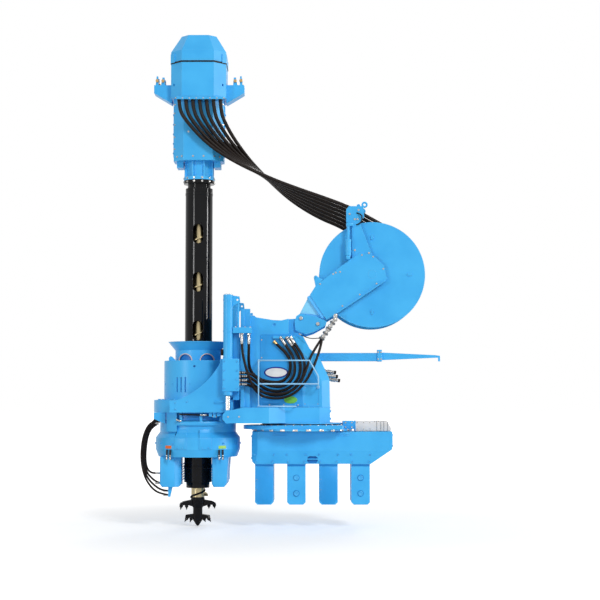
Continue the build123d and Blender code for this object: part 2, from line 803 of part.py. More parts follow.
guide_cylinder.part.label = "guide_cylinder"
export_step(guide_cylinder.part, "parts/guide_cylinder.step")

# The hanger boom holds the supply hoses clear of the piles behind the rig.
BOOM_BOTTOM = 1566
BOOM_TOP = 1676
BOOM_BLOCK = 927
BOOM_ARM = 992
HOOK_START = 1764
HOOK_END = 1827
with BuildPart() as hanger_boom:
    with BuildSketch(side):
        outline(
            [
                (119.5, BOOM_BOTTOM),
                (107.5, 1593),
                (22, BOOM_TOP),
                (BOOM_BLOCK, BOOM_TOP),
                (BOOM_BLOCK, BOOM_BOTTOM),
            ]
        )
    extrude(amount=55, both=True)
    with BuildSketch(side):
        with Locations((BOOM_BLOCK, BOOM_BOTTOM - 9)):
            Rectangle(BOOM_ARM - BOOM_BLOCK, 166, align=(Align.MIN, Align.MIN))
    extrude(amount=83, both=True)
    with BuildSketch(side):
        outline(
            [
                (BOOM_ARM, BOOM_BOTTOM + 12),
                (BOOM_ARM, BOOM_TOP + 10),
                (HOOK_START, BOOM_TOP - 28),
                (HOOK_START, BOOM_TOP - 64),
            ]
        )
    extrude(amount=40, both=True)
    with BuildSketch(side):
        outline(
            [
                (HOOK_START, BOOM_TOP - 64),
                (HOOK_START, BOOM_TOP - 28),
                (HOOK_END, BOOM_TOP - 36),
                (HOOK_END, BOOM_BOTTOM - 6),
                (HOOK_END - 27, BOOM_BOTTOM - 6),
                (HOOK_END - 27, BOOM_TOP - 64),
            ]
        )
    extrude(amount=12, both=True)
hanger_boom.part.label = "hanger_boom"
export_step(hanger_boom.part, "parts/hanger_boom.step")

# The chuck frame: a deck under two side plates, with the passage for the pile and the casing.
PASSAGE_FLANGE = 485
PASSAGE_R = 260
passage_points = [
    (-PASSAGE_FLANGE, -50),
    (PASSAGE_FLANGE, -50),
    (PASSAGE_FLANGE, 70),
    (400, 80),
    (230, 340),
    (-230, 340),
    (-400, 80),
    (-PASSAGE_FLANGE, 70),
]


def cut_passage(bottom, top):
    """Cuts the way for the pile and the casing through the part that is open."""
    with BuildSketch(Plane(origin=(AXIS_X, 0, bottom))) as way:
        outline(passage_points)
        Circle(PASSAGE_R)
    extrude(way.sketch, amount=top - bottom, mode=Mode.SUBTRACT)


with BuildPart() as chuck_deck:
    with BuildSketch(Plane.XY.offset(FRAME_BOTTOM)):
        with Locations((AXIS_X, 0)):
            Circle(AXIS_X - FRAME_FRONT)
            Rectangle(DECK_REAR - AXIS_X, 2 * PLATE_INNER, align=(Align.MIN, Align.CENTER))
            Rectangle(4 * SHELL_R, 2 * PLATE_INNER, mode=Mode.INTERSECT)
    extrude(amount=FRAME_TOP - FRAME_BOTTOM)
    cut_passage(FRAME_BOTTOM, FRAME_TOP)
chuck_deck.part.label = "chuck_deck"
export_step(chuck_deck.part, "parts/chuck_deck.step")

# Side plates tie the deck to the stroke cylinders; their upper edge sweeps up in an arc.
PLATE_FRONT = -1980
PLATE_REAR = -1180
ARC_LOW = (-1903, FRAME_TOP - 10)
ARC_MIDDLE = (-1519, FRAME_TOP + 212)
ARC_HIGH = (-1283, CARRIER_TOP - 58)
with BuildPart() as chuck_side_plates:
    for start in (PLATE_INNER, -PLATE_OUTER):
        with BuildSketch(side.offset(start)):
            with BuildLine():
                Polyline(
                    ARC_LOW,
                    (PLATE_FRONT, FRAME_TOP - 10),
                    (PLATE_FRONT, FRAME_BOTTOM),
                    (PLATE_REAR, FRAME_BOTTOM),
                    (PLATE_REAR, FRAME_TOP - 10),
                    (SHOE_REAR, CARRIER_BOTTOM),
                    (SHOE_REAR, CARRIER_TOP),
                    (ARC_HIGH[0], CARRIER_TOP),
                    ARC_HIGH,
                )
                ThreePointArc(ARC_HIGH, ARC_MIDDLE, ARC_LOW)
            make_face()
        extrude(amount=PLATE_OUTER - PLATE_INNER)
chuck_side_plates.part.label = "chuck_side_plates"
export_step(chuck_side_plates.part, "parts/chuck_side_plates.step")

# Guide shoes hook round the mast rails' inner edges.
SHOE_FRONT = RAIL_FRONT - 60
HOOK_REAR = RAIL_FRONT + 80
SHOE_SET = 25
shoe_section = [
    (SHOE_FRONT, PLATE_INNER),
    (SHOE_FRONT, RAIL_INNER - 30),
    (HOOK_REAR, RAIL_INNER - 30),
    (HOOK_REAR, WEB_INNER - 3),
    (RAIL_FRONT + RAIL_FLANGE + GAP, WEB_INNER - 3),
    (RAIL_FRONT + RAIL_FLANGE + GAP, RAIL_INNER - GAP),
    (RAIL_FRONT - GAP, RAIL_INNER - GAP),
    (RAIL_FRONT - GAP, PLATE_INNER),
]
with BuildPart() as guide_shoes:
    with BuildSketch(Plane.XY.offset(CARRIER_BOTTOM + SHOE_SET)):
        outline(shoe_section)
    extrude(amount=CARRIER_TOP - CARRIER_BOTTOM - 2 * SHOE_SET)
    with BuildSketch(Plane.XY.offset(CARRIER_BOTTOM + SHOE_SET)):
        outline(
            [
                (SHOE_REAR, PLATE_INNER),
                (RAIL_FRONT - GAP, PLATE_INNER),
                (RAIL_FRONT - GAP, PLATE_OUTER),
                (SHOE_REAR, PLATE_OUTER),
            ]
        )
    extrude(amount=CARRIER_TOP - CARRIER_BOTTOM - 2 * SHOE_SET)
    mirror(about=Plane.XZ)
guide_shoes.part.label = "guide_shoes"
export_step(guide_shoes.part, "parts/guide_shoes.step")

# Stroke cylinders: hollow barrels in carriers outside the side plates.
GLAND = 60
BARREL_CAP = 50
with BuildPart() as stroke_barrels:
    for y in (-ROD_Y, ROD_Y):
        with BuildSketch(Plane.XY.offset(BARREL_BOTTOM)):
            with Locations((ROD_X, y)):
                Circle(BARREL_R)
        extrude(amount=BARREL_TOP - BARREL_BOTTOM)
        with BuildSketch(Plane.XY.offset(BARREL_BOTTOM)):
            with Locations((ROD_X, y)):
                Circle(ROD_R + FIT)
        extrude(amount=GLAND, mode=Mode.SUBTRACT)
        with BuildSketch(Plane.XY.offset(BARREL_BOTTOM + GLAND)):
            with Locations((ROD_X, y)):
                Circle(BARREL_BORE_R)
        extrude(amount=BARREL_TOP - BARREL_CAP - BARREL_BOTTOM - GLAND, mode=Mode.SUBTRACT)
stroke_barrels.part.label = "stroke_barrels"
export_step(stroke_barrels.part, "parts/stroke_barrels.step")

CARRIER_FRONT = ROD_X - BARREL_R - 4
with BuildPart() as barrel_carriers:
    with BuildSketch(Plane.XY.offset(CARRIER_BOTTOM)):
        outline(
            [
                (CARRIER_FRONT, PLATE_OUTER),
                (CARRIER_FRONT, CARRIER_OUTER),
                (SHOE_REAR, CARRIER_OUTER),
                (SHOE_REAR, PLATE_OUTER),
            ]
        )
        with Locations((ROD_X, ROD_Y)):
            Circle(BARREL_R, mode=Mode.SUBTRACT)
    extrude(amount=CARRIER_TOP - CARRIER_BOTTOM)
    mirror(about=Plane.XZ)
barrel_carriers.part.label = "barrel_carriers"
export_step(barrel_carriers.part, "parts/barrel_carriers.step")

# The shell over the deck guides the pile; the passage leaves it in a front and a rear half. Three
# louvres and a sight hole pierce the front half, and an ear stands on its outer corner.
LOUVRE_ANGLES = (-33.7, -25.9, -18.1)
LOUVRE_Z = 1221
LOUVRE_WIDTH = 22
LOUVRE_DEPTH = 24
LOUVRE_HEIGHT = 211
SIGHT_HOLE = (-1651, 1481)
SIGHT_HOLE_R = 15
with BuildPart() as chuck_shell:
    with BuildSketch(Plane.XY.offset(FRAME_TOP)):
        with Locations((AXIS_X, 0)):
            Circle(SHELL_R)
    extrude(amount=SHELL_TOP - FRAME_TOP)
    cut_passage(FRAME_TOP, SHELL_TOP)
    with BuildSketch(Plane.XY.offset(FRAME_TOP)):
        with Locations((AXIS_X, 10)):
            Rectangle(3 * SHELL_R, 120)
    extrude(amount=SHELL_TOP - FRAME_TOP, mode=Mode.SUBTRACT)
    for angle in LOUVRE_ANGLES:
        with Locations(Location((AXIS_X, 0, LOUVRE_Z), (0, 0, angle))):
            with Locations((0, -SHELL_R, 0)):
                Box(LOUVRE_WIDTH, 2 * LOUVRE_DEPTH, LOUVRE_HEIGHT, mode=Mode.SUBTRACT)
    with BuildSketch(side.offset(SHELL_R - 3 * SIGHT_HOLE_R)):
        with Locations(SIGHT_HOLE):
            Circle(SIGHT_HOLE_R)
    extrude(amount=3 * SIGHT_HOLE_R, mode=Mode.SUBTRACT)
    with BuildSketch(side.offset(240)):
        outline(
            [
                (-2028, SHELL_TOP),
                (-2028, SHELL_TOP + 41),
                (-2005, SHELL_TOP + 64),
                (-1980, SHELL_TOP + 56),
                (-1925, SHELL_TOP),
            ]
        )
    extrude(amount=30)
chuck_shell.part.label = "chuck_shell"
export_step(chuck_shell.part, "parts/chuck_shell.step")

# A half funnel on the shell leads the pile in; two arches in its neck show the steady, which holds
# the casing upright.
FUNNEL_WALL = 14
ARCH_R = 96
with BuildPart() as chuck_funnel:
    with BuildSketch(side):
        outline(
            [
                (AXIS_X + FUNNEL_NECK_R - FUNNEL_WALL, SHELL_TOP),
                (AXIS_X + FUNNEL_NECK_R, SHELL_TOP),
                (AXIS_X + FUNNEL_NECK_R, FUNNEL_NECK_TOP),
                (AXIS_X + FUNNEL_R, FUNNEL_TOP),
                (AXIS_X + FUNNEL_R - FUNNEL_WALL, FUNNEL_TOP),
                (AXIS_X + FUNNEL_NECK_R - FUNNEL_WALL, FUNNEL_NECK_TOP),
            ]
        )
    revolve(axis=Axis((AXIS_X, 0, 0), (0, 0, 1)))
    with BuildSketch(Plane.XY.offset(SHELL_TOP)):
        with Locations((AXIS_X, -60)):
            Rectangle(4 * FUNNEL_R, 2 * FUNNEL_R, align=(Align.CENTER, Align.MIN))
    extrude(amount=FUNNEL_TOP - SHELL_TOP, mode=Mode.SUBTRACT)
    with BuildSketch(side.offset(150)):
        with Locations((AXIS_X - 165, SHELL_TOP), (AXIS_X + 145, SHELL_TOP)):
            Circle(ARCH_R)
    extrude(amount=FUNNEL_NECK_R - 150, mode=Mode.SUBTRACT)
chuck_funnel.part.label = "chuck_funnel"
export_step(chuck_funnel.part, "parts/chuck_funnel.step")

STEADY_THICK = 60
with BuildPart() as casing_steady:
    with BuildSketch(Plane.XY.offset(SHELL_TOP - STEADY_THICK - 4)):
        with Locations((AXIS_X, 0)):
            Circle(PASSAGE_R)
            Circle(CASING_R + GAP, mode=Mode.SUBTRACT)
        with Locations((AXIS_X, -60)):
            Rectangle(
                4 * PASSAGE_R,
                2 * PASSAGE_R,
                align=(Align.CENTER, Align.MIN),
                mode=Mode.SUBTRACT,
            )
    extrude(amount=STEADY_THICK)
casing_steady.part.label = "casing_steady"
export_step(casing_steady.part, "parts/casing_steady.step")

# A bracket on each barrel carries the loop hoses' fittings; the lugs on top take a sling.
LUG_PLATE = 24
LUG_HOLE = (-1040, 2395)
LOOP_TOP = 1932
with BuildPart() as hose_bracket:
    with BuildSketch(Plane.XY.offset(LOOP_TOP)):
        outline(
            [
                (ROD_X + BARREL_R, -ROD_Y - 45),
                (-840, -ROD_Y - 45),
                (-840, -ROD_Y + 85),
                (ROD_X + BARREL_R, -ROD_Y + 85),
            ]
        )
    extrude(amount=80)
    for y in (-ROD_Y, ROD_Y):
        with BuildSketch(side.offset(-y - LUG_PLATE / 2)):
            outline(
                [
                    (ROD_X, BARREL_TOP),
                    (-1010, BARREL_TOP - 25),
                    (-1000, 2350),
                    (-1060, 2330),
                    (ROD_X, 2250),
                ]
            )
            with Locations((ROD_X, LUG_HOLE[1])):
                Rectangle(2 * BARREL_R, 500, mode=Mode.SUBTRACT)
            with Locations(LUG_HOLE):
                Circle(14, mode=Mode.SUBTRACT)
        extrude(amount=LUG_PLATE)
hose_bracket.part.label = "hose_bracket"
export_step(hose_bracket.part, "parts/hose_bracket.step")


def drive_plan(half, chamfer):
    """The drive unit's octagon: a square of this half side with its corners cut."""
    inner = half - chamfer
    outline(
        [
            (half, -inner),
            (half, inner),
            (inner, half),
            (-inner, half),
            (-half, inner),
            (-half, -inner),
            (-inner, -half),
            (inner, -half),
        ]
    )


corner_signs = ((-1, -1), (1, -1), (1, 1), (-1, 1))


def corner_facet(x, y, along, z):
    """The plane of a cut corner of the drive unit, this far along X from the axis and at this height."""
    across = 2 * DRIVE_HALF - DRIVE_CHAMFER - along
    return Plane(origin=(AXIS_X + x * along, y * across, z), x_dir=(0, 0, 1), z_dir=(x, y, 0))


# The drive unit: an eight-sided upper housing with a hipped cover, over a square lower housing with
# broad cut corners. Pins hold the upper housing, and four ears hold the cover down.
PIN_HOLE_ALONG = 350
PIN_HOLE_Z = DRIVE_LIP + 188
PIN_HOLE_R = 18
COVER_EAR_ALONG = 362
COVER_EAR_Z = DRIVE_JOINT + 37
COVER_EAR = (130, 76)
COVER_EAR_THICK = 16
with BuildPart() as drive_upper:
    with BuildSketch(Plane(origin=(AXIS_X, 0, DRIVE_LIP))):
        drive_plan(DRIVE_HALF, DRIVE_CHAMFER)
    extrude(amount=DRIVE_JOINT - DRIVE_LIP)
    for x, y in corner_signs:
        with BuildSketch(corner_facet(x, y, PIN_HOLE_ALONG, PIN_HOLE_Z)):
            Circle(PIN_HOLE_R)
        extrude(amount=-2 * PIN_HOLE_R, mode=Mode.SUBTRACT)
drive_upper.part.label = "drive_upper"
export_step(drive_upper.part, "parts/drive_upper.step")

with BuildPart() as drive_cover:
    with BuildSketch(Plane(origin=(AXIS_X, 0, DRIVE_JOINT))):
        drive_plan(DRIVE_HALF, DRIVE_CHAMFER)
    extrude(amount=DRIVE_SHOULDER - DRIVE_JOINT)
    with BuildSketch(Plane(origin=(AXIS_X, 0, DRIVE_SHOULDER))):
        drive_plan(DRIVE_HALF, DRIVE_CHAMFER)
    with BuildSketch(Plane(origin=(AXIS_X, 0, DRIVE_TOP))):
        drive_plan(DRIVE_TOP_HALF, DRIVE_CHAMFER * DRIVE_TOP_HALF / DRIVE_HALF)
    loft(ruled=True)
    for x, y in corner_signs:
        with BuildSketch(corner_facet(x, y, COVER_EAR_ALONG, COVER_EAR_Z)):
            Rectangle(*COVER_EAR)
        extrude(amount=COVER_EAR_THICK)
drive_cover.part.label = "drive_cover"
export_step(drive_cover.part, "parts/drive_cover.step")

SEAM_SET = 75
SEAM_PROUD = 12
SEAM_WIDTH = 90
BEARER_X = 267
BEARER = (95, 240)
BEARER_DROP = 88
with BuildPart() as drive_lower:
    with BuildSketch(Plane(origin=(AXIS_X, 0, LOWER_BOTTOM))):
        Rectangle(2 * LOWER_HALF_X, 2 * LOWER_HALF_Y)
    extrude(amount=DRIVE_LIP - LOWER_BOTTOM)
    chamfer(drive_lower.edges().filter_by(Axis.Z), LOWER_CHAMFER)
    with BuildSketch(Plane(origin=(AXIS_X, 0, LOWER_BOTTOM + SEAM_SET))):
        Rectangle(2 * (LOWER_HALF_X + SEAM_PROUD), SEAM_WIDTH)
    extrude(amount=DRIVE_LIP - LOWER_BOTTOM - 2 * SEAM_SET)
    with BuildSketch(Plane(origin=(AXIS_X, 0, LOWER_BOTTOM))):
        with Locations((-BEARER_X, 0), (BEARER_X, 0)):
            Rectangle(*BEARER)
    extrude(amount=-BEARER_DROP)
    with BuildSketch(Plane.XY.offset(HOSE_TOP)):
        with Locations((AXIS_X + 29, -LOWER_HALF_Y)):
            Rectangle(HOSE_INLET_WIDTH, HOSE_INLET_DEPTH, align=(Align.CENTER, Align.MAX))
    extrude(amount=DRIVE_LIP - HOSE_TOP)
drive_lower.part.label = "drive_lower"
export_step(drive_lower.part, "parts/drive_lower.step")

EAR_TOP = DRIVE_LIP + 223
EAR_REACH = DRIVE_HALF + 254
EAR_HALF_DEPTH = 110
EAR_LUG = 30
ear_side = [
    (-EAR_REACH, EAR_TOP),
    (-DRIVE_HALF, EAR_TOP),
    (-DRIVE_HALF, DRIVE_LIP - 46),
    (-EAR_REACH, DRIVE_LIP + 107),
]
lug_outer = [
    (-EAR_REACH + 21, EAR_TOP),
    (-EAR_REACH + 63, EAR_TOP),
    (-EAR_REACH + 59, EAR_TOP + 127),
    (-EAR_REACH + 37, EAR_TOP + 133),
]
lug_inner = [
    (-EAR_REACH + 99, EAR_TOP),
    (-EAR_REACH + 159, EAR_TOP),
    (-EAR_REACH + 149, EAR_TOP + 111),
    (-EAR_REACH + 119, EAR_TOP + 111),
]
with BuildPart() as drive_ear:
    with BuildSketch(side):
        outline(ear_side)
    extrude(amount=EAR_HALF_DEPTH, both=True)
    for start in (EAR_HALF_DEPTH - EAR_LUG, -EAR_HALF_DEPTH):
        with BuildSketch(side.offset(start)):
            outline(lug_outer)
            outline(lug_inner)
        extrude(amount=EAR_LUG)
with BuildPart() as drive_ears:
    with Locations(Location((AXIS_X, 0, 0)), Location((AXIS_X, 0, 0), (0, 0, 180))):
        add(drive_ear.part)
drive_ears.part.label = "drive_ears"
export_step(drive_ears.part, "parts/drive_ears.step")

OUTPUT_RIB = (50, 22)
with BuildPart() as drive_output:
    with BuildSketch(Plane(origin=(AXIS_X, 0, OUTPUT_FLANGE))):
        Circle(OUTPUT_R)
    extrude(amount=LOWER_BOTTOM - OUTPUT_FLANGE)
    with BuildSketch(Plane(origin=(AXIS_X, 0, OUTPUT_FLANGE))):
        Circle(FLANGE_R)
    extrude(amount=FLANGE)
    with BuildSketch(Plane(origin=(AXIS_X, 0, OUTPUT_FLANGE + FLANGE))):
        with PolarLocations(OUTPUT_R + 12, 8, start_angle=22.5):
            Rectangle(*OUTPUT_RIB)
    extrude(amount=LOWER_BOTTOM - OUTPUT_FLANGE - FLANGE)
drive_output.part.label = "drive_output"
export_step(drive_output.part, "parts/drive_output.step")

# The casing hangs from a bolted flange; oval windows let the spoil out.
SHAFT_TOP = CASING_TOP + 58
CASING_CAP = 40
with BuildPart() as casing_head:
    with BuildSketch(Plane(origin=(AXIS_X, 0, HEAD_FLANGE))):
        Circle(FLANGE_R)
    extrude(amount=FLANGE)
    with BuildSketch(Plane(origin=(AXIS_X, 0, CASING_TOP))):
        Circle(CASING_R - 30)
    extrude(amount=HEAD_FLANGE - CASING_TOP)
    with BuildSketch(Plane(origin=(AXIS_X, 0, CASING_TOP))):
        Circle(SHAFT_R + FIT)
    extrude(amount=60, mode=Mode.SUBTRACT)
casing_head.part.label = "casing_head"
export_step(casing_head.part, "parts/casing_head.step")

with BuildPart() as casing:
    with BuildSketch(Plane(origin=(AXIS_X, 0, CASING_BOTTOM))):
        Circle(CASING_R)
        Circle(CASING_R - CASING_WALL, mode=Mode.SUBTRACT)
    extrude(amount=CASING_TOP - CASING_CAP - CASING_BOTTOM)
    with BuildSketch(Plane(origin=(AXIS_X, 0, CASING_TOP - CASING_CAP))):
        Circle(CASING_R)
        Circle(SHAFT_R + 20, mode=Mode.SUBTRACT)
    extrude(amount=CASING_CAP)
    with BuildSketch(Plane(origin=(AXIS_X, 0, SHOE_BOTTOM))):
        Circle(SHOE_R)
        Circle(SHOE_R - CASING_WALL, mode=Mode.SUBTRACT)
    extrude(amount=CASING_BOTTOM - SHOE_BOTTOM)
    with BuildSketch(Plane(origin=(AXIS_X, 0, CASING_BOTTOM - 1))):
        Circle(CASING_R)
        Circle(SHOE_R - CASING_WALL, mode=Mode.SUBTRACT)
    extrude(amount=21)
    for drop in WINDOW_DROPS:
        with BuildSketch(side):
            with Locations((AXIS_X, CASING_TOP - drop)):
                SlotOverall(WINDOW_HEIGHT, WINDOW_WIDTH, rotation=90)
        extrude(amount=CASING_R, both=True, mode=Mode.SUBTRACT)
casing.part.label = "casing"
export_step(casing.part, "parts/casing.step")

# The auger's shaft turns in the casing; a flight is welded round it.
HEAD_TOP = -365
FLIGHT_FOOT = HEAD_TOP + FLIGHT_THICK
with BuildPart() as auger_shaft:
    with BuildSketch(Plane(origin=(AXIS_X, 0, HEAD_TOP))):
        Circle(SHAFT_R)
    extrude(amount=SHAFT_TOP - HEAD_TOP)
auger_shaft.part.label = "auger_shaft"
export_step(auger_shaft.part, "parts/auger_shaft.step")

with BuildPart() as auger_flight:
    with BuildLine(Plane(origin=(AXIS_X, 0, FLIGHT_FOOT))) as helix:
        Helix(FLIGHT_PITCH, CASING_TOP - FLIGHT_STOP - FLIGHT_FOOT, SHAFT_R - WELD)
    with BuildSketch(
        Plane(origin=helix.line @ 0, x_dir=(1, 0, 0), z_dir=helix.line % 0)
    ) as flight_section:
        Rectangle(FLIGHT_R - SHAFT_R + WELD, FLIGHT_THICK, align=(Align.MIN, Align.CENTER))
    sweep(flight_section.sketch, path=helix.line, is_frenet=True)
auger_flight.part.label = "auger_flight"
export_step(auger_flight.part, "parts/auger_flight.step")

# The cutting head below the casing: a hub with two pairs of drooping wings and a pointed tip. Each
# pick sits in a holder that leans outward and into the cut.
HUB_R = 67
TIP = -780
WING_THICK = 84
wing_high = [(0, -395), (110, -405), (205, -423), (252, -450), (258, -484), (150, -476), (60, -505), (0, -505)]
wing_low = [(0, -596), (90, -606), (168, -618), (176, -664), (90, -662), (0, -690)]
HOLDER_R = 25
HOLDER_LENGTH = 44
PICK_R = 19
PICK_LENGTH = 48
# Angle of the wing about the axis, distance out, height, lean outward, and lean into the cut.
picks = (
    (12, 232, -462, 14, 30),
    (12, 160, -462, 4, 30),
    (192, 232, -462, 14, 30),
    (192, 160, -462, 4, 30),
    (-16, 150, -646, 24, 32),
    (-16, 88, -646, 8, 32),
    (164, 150, -646, 24, 32),
    (164, 88, -646, 8, 32),
)
pick_axes = []
for angle, distance, height, outward, forward in picks:
    turn = math.radians(angle)
    radial = Vector(math.cos(turn), math.sin(turn), 0)
    cut = Vector(-math.sin(turn), math.cos(turn), 0)
    down = Vector(0, 0, -1)
    lean = down + radial * math.tan(math.radians(outward)) + cut * math.tan(math.radians(forward))
    foot = Vector(AXIS_X, 0, height) + radial * distance
    pick_axes.append((foot, lean.normalized()))

with BuildPart() as auger_head:
    with BuildSketch(side):
        outline(
            [
                (AXIS_X, HEAD_TOP),
                (AXIS_X + SHAFT_R, HEAD_TOP),
                (AXIS_X + SHAFT_R + 6, -395),
                (AXIS_X + SHAFT_R, -470),
                (AXIS_X + HUB_R, -520),
                (AXIS_X + HUB_R, -690),
                (AXIS_X + 22, TIP + 18),
                (AXIS_X, TIP),
            ]
        )
    revolve(axis=Axis((AXIS_X, 0, 0), (0, 0, 1)))
    for angle, wing in ((12, wing_high), (192, wing_high), (-16, wing_low), (164, wing_low)):
        turn = math.radians(angle)
        face = Plane(
            origin=(AXIS_X, 0, 0),
            x_dir=(math.cos(turn), math.sin(turn), 0),
            z_dir=(math.sin(turn), -math.cos(turn), 0),
        )
        with BuildSketch(face):
            outline(wing)
        extrude(amount=WING_THICK / 2, both=True)
    for foot, lean in pick_axes:
        with BuildSketch(Plane(origin=foot, z_dir=lean)):
            Circle(HOLDER_R)
        extrude(amount=HOLDER_LENGTH)
auger_head.part.label = "auger_head"
export_step(auger_head.part, "parts/auger_head.step")

with BuildPart() as auger_picks:
    for foot, lean in pick_axes:
        with Locations(Plane(origin=foot + lean * HOLDER_LENGTH, z_dir=lean).location):
            Cone(PICK_R, 3, PICK_LENGTH, align=(Align.CENTER, Align.CENTER, Align.MIN))
auger_picks.part.label = "auger_picks"
export_step(auger_picks.part, "parts/auger_picks.step")

# The chuck rotor turns under the deck and carries the legs that grip the pile.
with BuildPart() as chuck_rotor:
    with BuildSketch(side):
        outline(
            [
                (AXIS_X, FRAME_BOTTOM - GAP),
                (AXIS_X + 520, FRAME_BOTTOM - GAP),
                (AXIS_X + 520, 726),
                (AXIS_X + ROTOR_R, 714),
                (AXIS_X + ROTOR_R, 560),
                (AXIS_X + ROTOR_BULGE_R, 480),
                (AXIS_X + ROTOR_BULGE_R, 320),
                (AXIS_X + 560, ROTOR_BOTTOM),
                (AXIS_X, ROTOR_BOTTOM),
            ]
        )
    revolve(axis=Axis((AXIS_X, 0, 0), (0, 0, 1)))
    cut_passage(ROTOR_BOTTOM, FRAME_BOTTOM)
chuck_rotor.part.label = "chuck_rotor"
export_step(chuck_rotor.part, "parts/chuck_rotor.step")

# Each leg's sign along X, then its edges as distances from the axis: outer above, outer below, inner
# on the front face, and inner behind the cut corner.
leg_edges = (
    (-1, 505, 505, 300, 216),
    (1, 455, 425, 252, 216),
)
LEG_CORNER = 90
with BuildPart() as chuck_legs:
    for sign, outer_top, outer_foot, _, inner_rear in leg_edges:
        with BuildSketch(side):
            outline(
                [
                    (AXIS_X + sign * outer_top, ROTOR_BOTTOM),
                    (AXIS_X + sign * outer_foot, CHUCK_LEG_BOTTOM + 40),
                    (AXIS_X + sign * (outer_foot - 30), CHUCK_LEG_BOTTOM),
                    (AXIS_X + sign * (inner_rear + 30), CHUCK_LEG_BOTTOM),
                    (AXIS_X + sign * inner_rear, CHUCK_LEG_BOTTOM + 40),
                    (AXIS_X + sign * inner_rear, ROTOR_BOTTOM),
                ]
            )
        extrude(amount=CHUCK_LEG_HALF_DEPTH, both=True)
    with BuildSketch(Plane.XY.offset(CHUCK_LEG_BOTTOM)):
        for sign, outer_top, _, inner_front, inner_rear in leg_edges:
            outline(
                [
                    (AXIS_X + sign * outer_top, -CHUCK_LEG_HALF_DEPTH),
                    (AXIS_X + sign * inner_front, -CHUCK_LEG_HALF_DEPTH),
                    (AXIS_X + sign * inner_rear, -CHUCK_LEG_HALF_DEPTH + LEG_CORNER),
                    (AXIS_X + sign * inner_rear, CHUCK_LEG_HALF_DEPTH - LEG_CORNER),
                    (AXIS_X + sign * inner_front, CHUCK_LEG_HALF_DEPTH),
                    (AXIS_X + sign * outer_top, CHUCK_LEG_HALF_DEPTH),
                ]
            )
    extrude(amount=ROTOR_BOTTOM - CHUCK_LEG_BOTTOM, mode=Mode.INTERSECT)
    with BuildSketch(Plane.XY.offset(CHUCK_LEG_BOTTOM)):
        with Locations((AXIS_X, 10)):
            Rectangle(4 * SHELL_R, 120)
    extrude(amount=ROTOR_BOTTOM - CHUCK_LEG_BOTTOM, mode=Mode.SUBTRACT)
    cut_passage(CHUCK_LEG_BOTTOM, ROTOR_BOTTOM)
chuck_legs.part.label = "chuck_legs"
export_step(chuck_legs.part, "parts/chuck_legs.step")

# Loop hoses hang from the bracket and rise to a manifold on the mast body, inside the guard.
LOOP_HOSE_R = 20
MANIFOLD_BOTTOM = 1800
loop_routes = [
    [
        (-978, -740, 1932), (-978, -740, 1790), (-955, -665, 1520), (-865, -600, 1270),
        (-730, -545, 1100), (-524, -535, 1045), (-330, -540, 1115), (-185, -545, 1270),
        (-130, -545, 1440), (-175, -520, 1565), (-262, -482, 1675), (-262, -482, 1800),
    ],
    [
        (-978, -680, 1932), (-978, -680, 1790), (-930, -632, 1560), (-840, -565, 1340),
        (-735, -505, 1180), (-540, -492, 1115), (-370, -495, 1165), (-245, -500, 1300),
        (-200, -500, 1430), (-260, -495, 1570), (-365, -482, 1675), (-365, -482, 1800),
    ],
    [
        (-880, -740, 1932), (-880, -740, 1800), (-860, -650, 1600), (-800, -575, 1400),
        (-690, -548, 1245), (-530, -545, 1172), (-390, -548, 1225), (-300, -548, 1330),
        (-267, -548, 1440), (-330, -535, 1580), (-430, -488, 1685), (-430, -488, 1800),
    ],
    [
        (-880, -680, 1932), (-880, -680, 1800), (-850, -610, 1620), (-785, -530, 1450),
        (-690, -500, 1320), (-550, -495, 1242), (-430, -496, 1290), (-350, -500, 1370),
        (-325, -500, 1460), (-395, -495, 1580), (-500, -482, 1680), (-500, -482, 1800),
    ],
]
with BuildPart() as loop_hoses:
    for route in loop_routes:
        hose(route, LOOP_HOSE_R)
loop_hoses.part.label = "loop_hoses"
export_step(loop_hoses.part, "parts/loop_hoses.step")

with BuildPart() as loop_manifold:
    with BuildSketch(side.offset(BODY_HALF_WIDTH)):
        with Locations((-390, MANIFOLD_BOTTOM)):
            Rectangle(330, 110, align=(Align.CENTER, Align.MIN))
    extrude(amount=64)
    chamfer(loop_manifold.edges().filter_by(Axis.Y), 12)
loop_manifold.part.label = "loop_manifold"
export_step(loop_manifold.part, "parts/loop_manifold.step")

# Two supply hoses run from the reel's arm down to the mast body.
FEED_HOSE_R = 18
feed_line = [
    (310, 2175), (310, 2080), (200, 1905), (115, 1730), (60, 1560), (0, 1400),
    (-60, 1257), (-170, 1110), (-345, 985), (-470, 985),
]
with BuildPart() as feed_hoses:
    for start_y, hang_y in ((-470, -550), (-425, -505)):
        route = []
        for i, (x, z) in enumerate(feed_line):
            route.append((x, start_y + min(max(i - 1, 0) / 4, 1) * (hang_y - start_y), z))
        hose(route, FEED_HOSE_R)
feed_hoses.part.label = "feed_hoses"
export_step(feed_hoses.part, "parts/feed_hoses.step")

with BuildPart() as feed_fittings:
    with BuildSketch(side.offset(ARM_PLATE_OUTER)):
        with Locations((310, 2175)):
            Rectangle(50, 44, align=(Align.CENTER, Align.MIN))
    extrude(amount=92)
    with BuildSketch(side.offset(BODY_HALF_WIDTH)):
        with Locations((-470, 985)):
            Rectangle(60, 44, align=(Align.MAX, Align.CENTER))
    extrude(amount=122)
feed_fittings.part.label = "feed_fittings"
export_step(feed_fittings.part, "parts/feed_fittings.step")

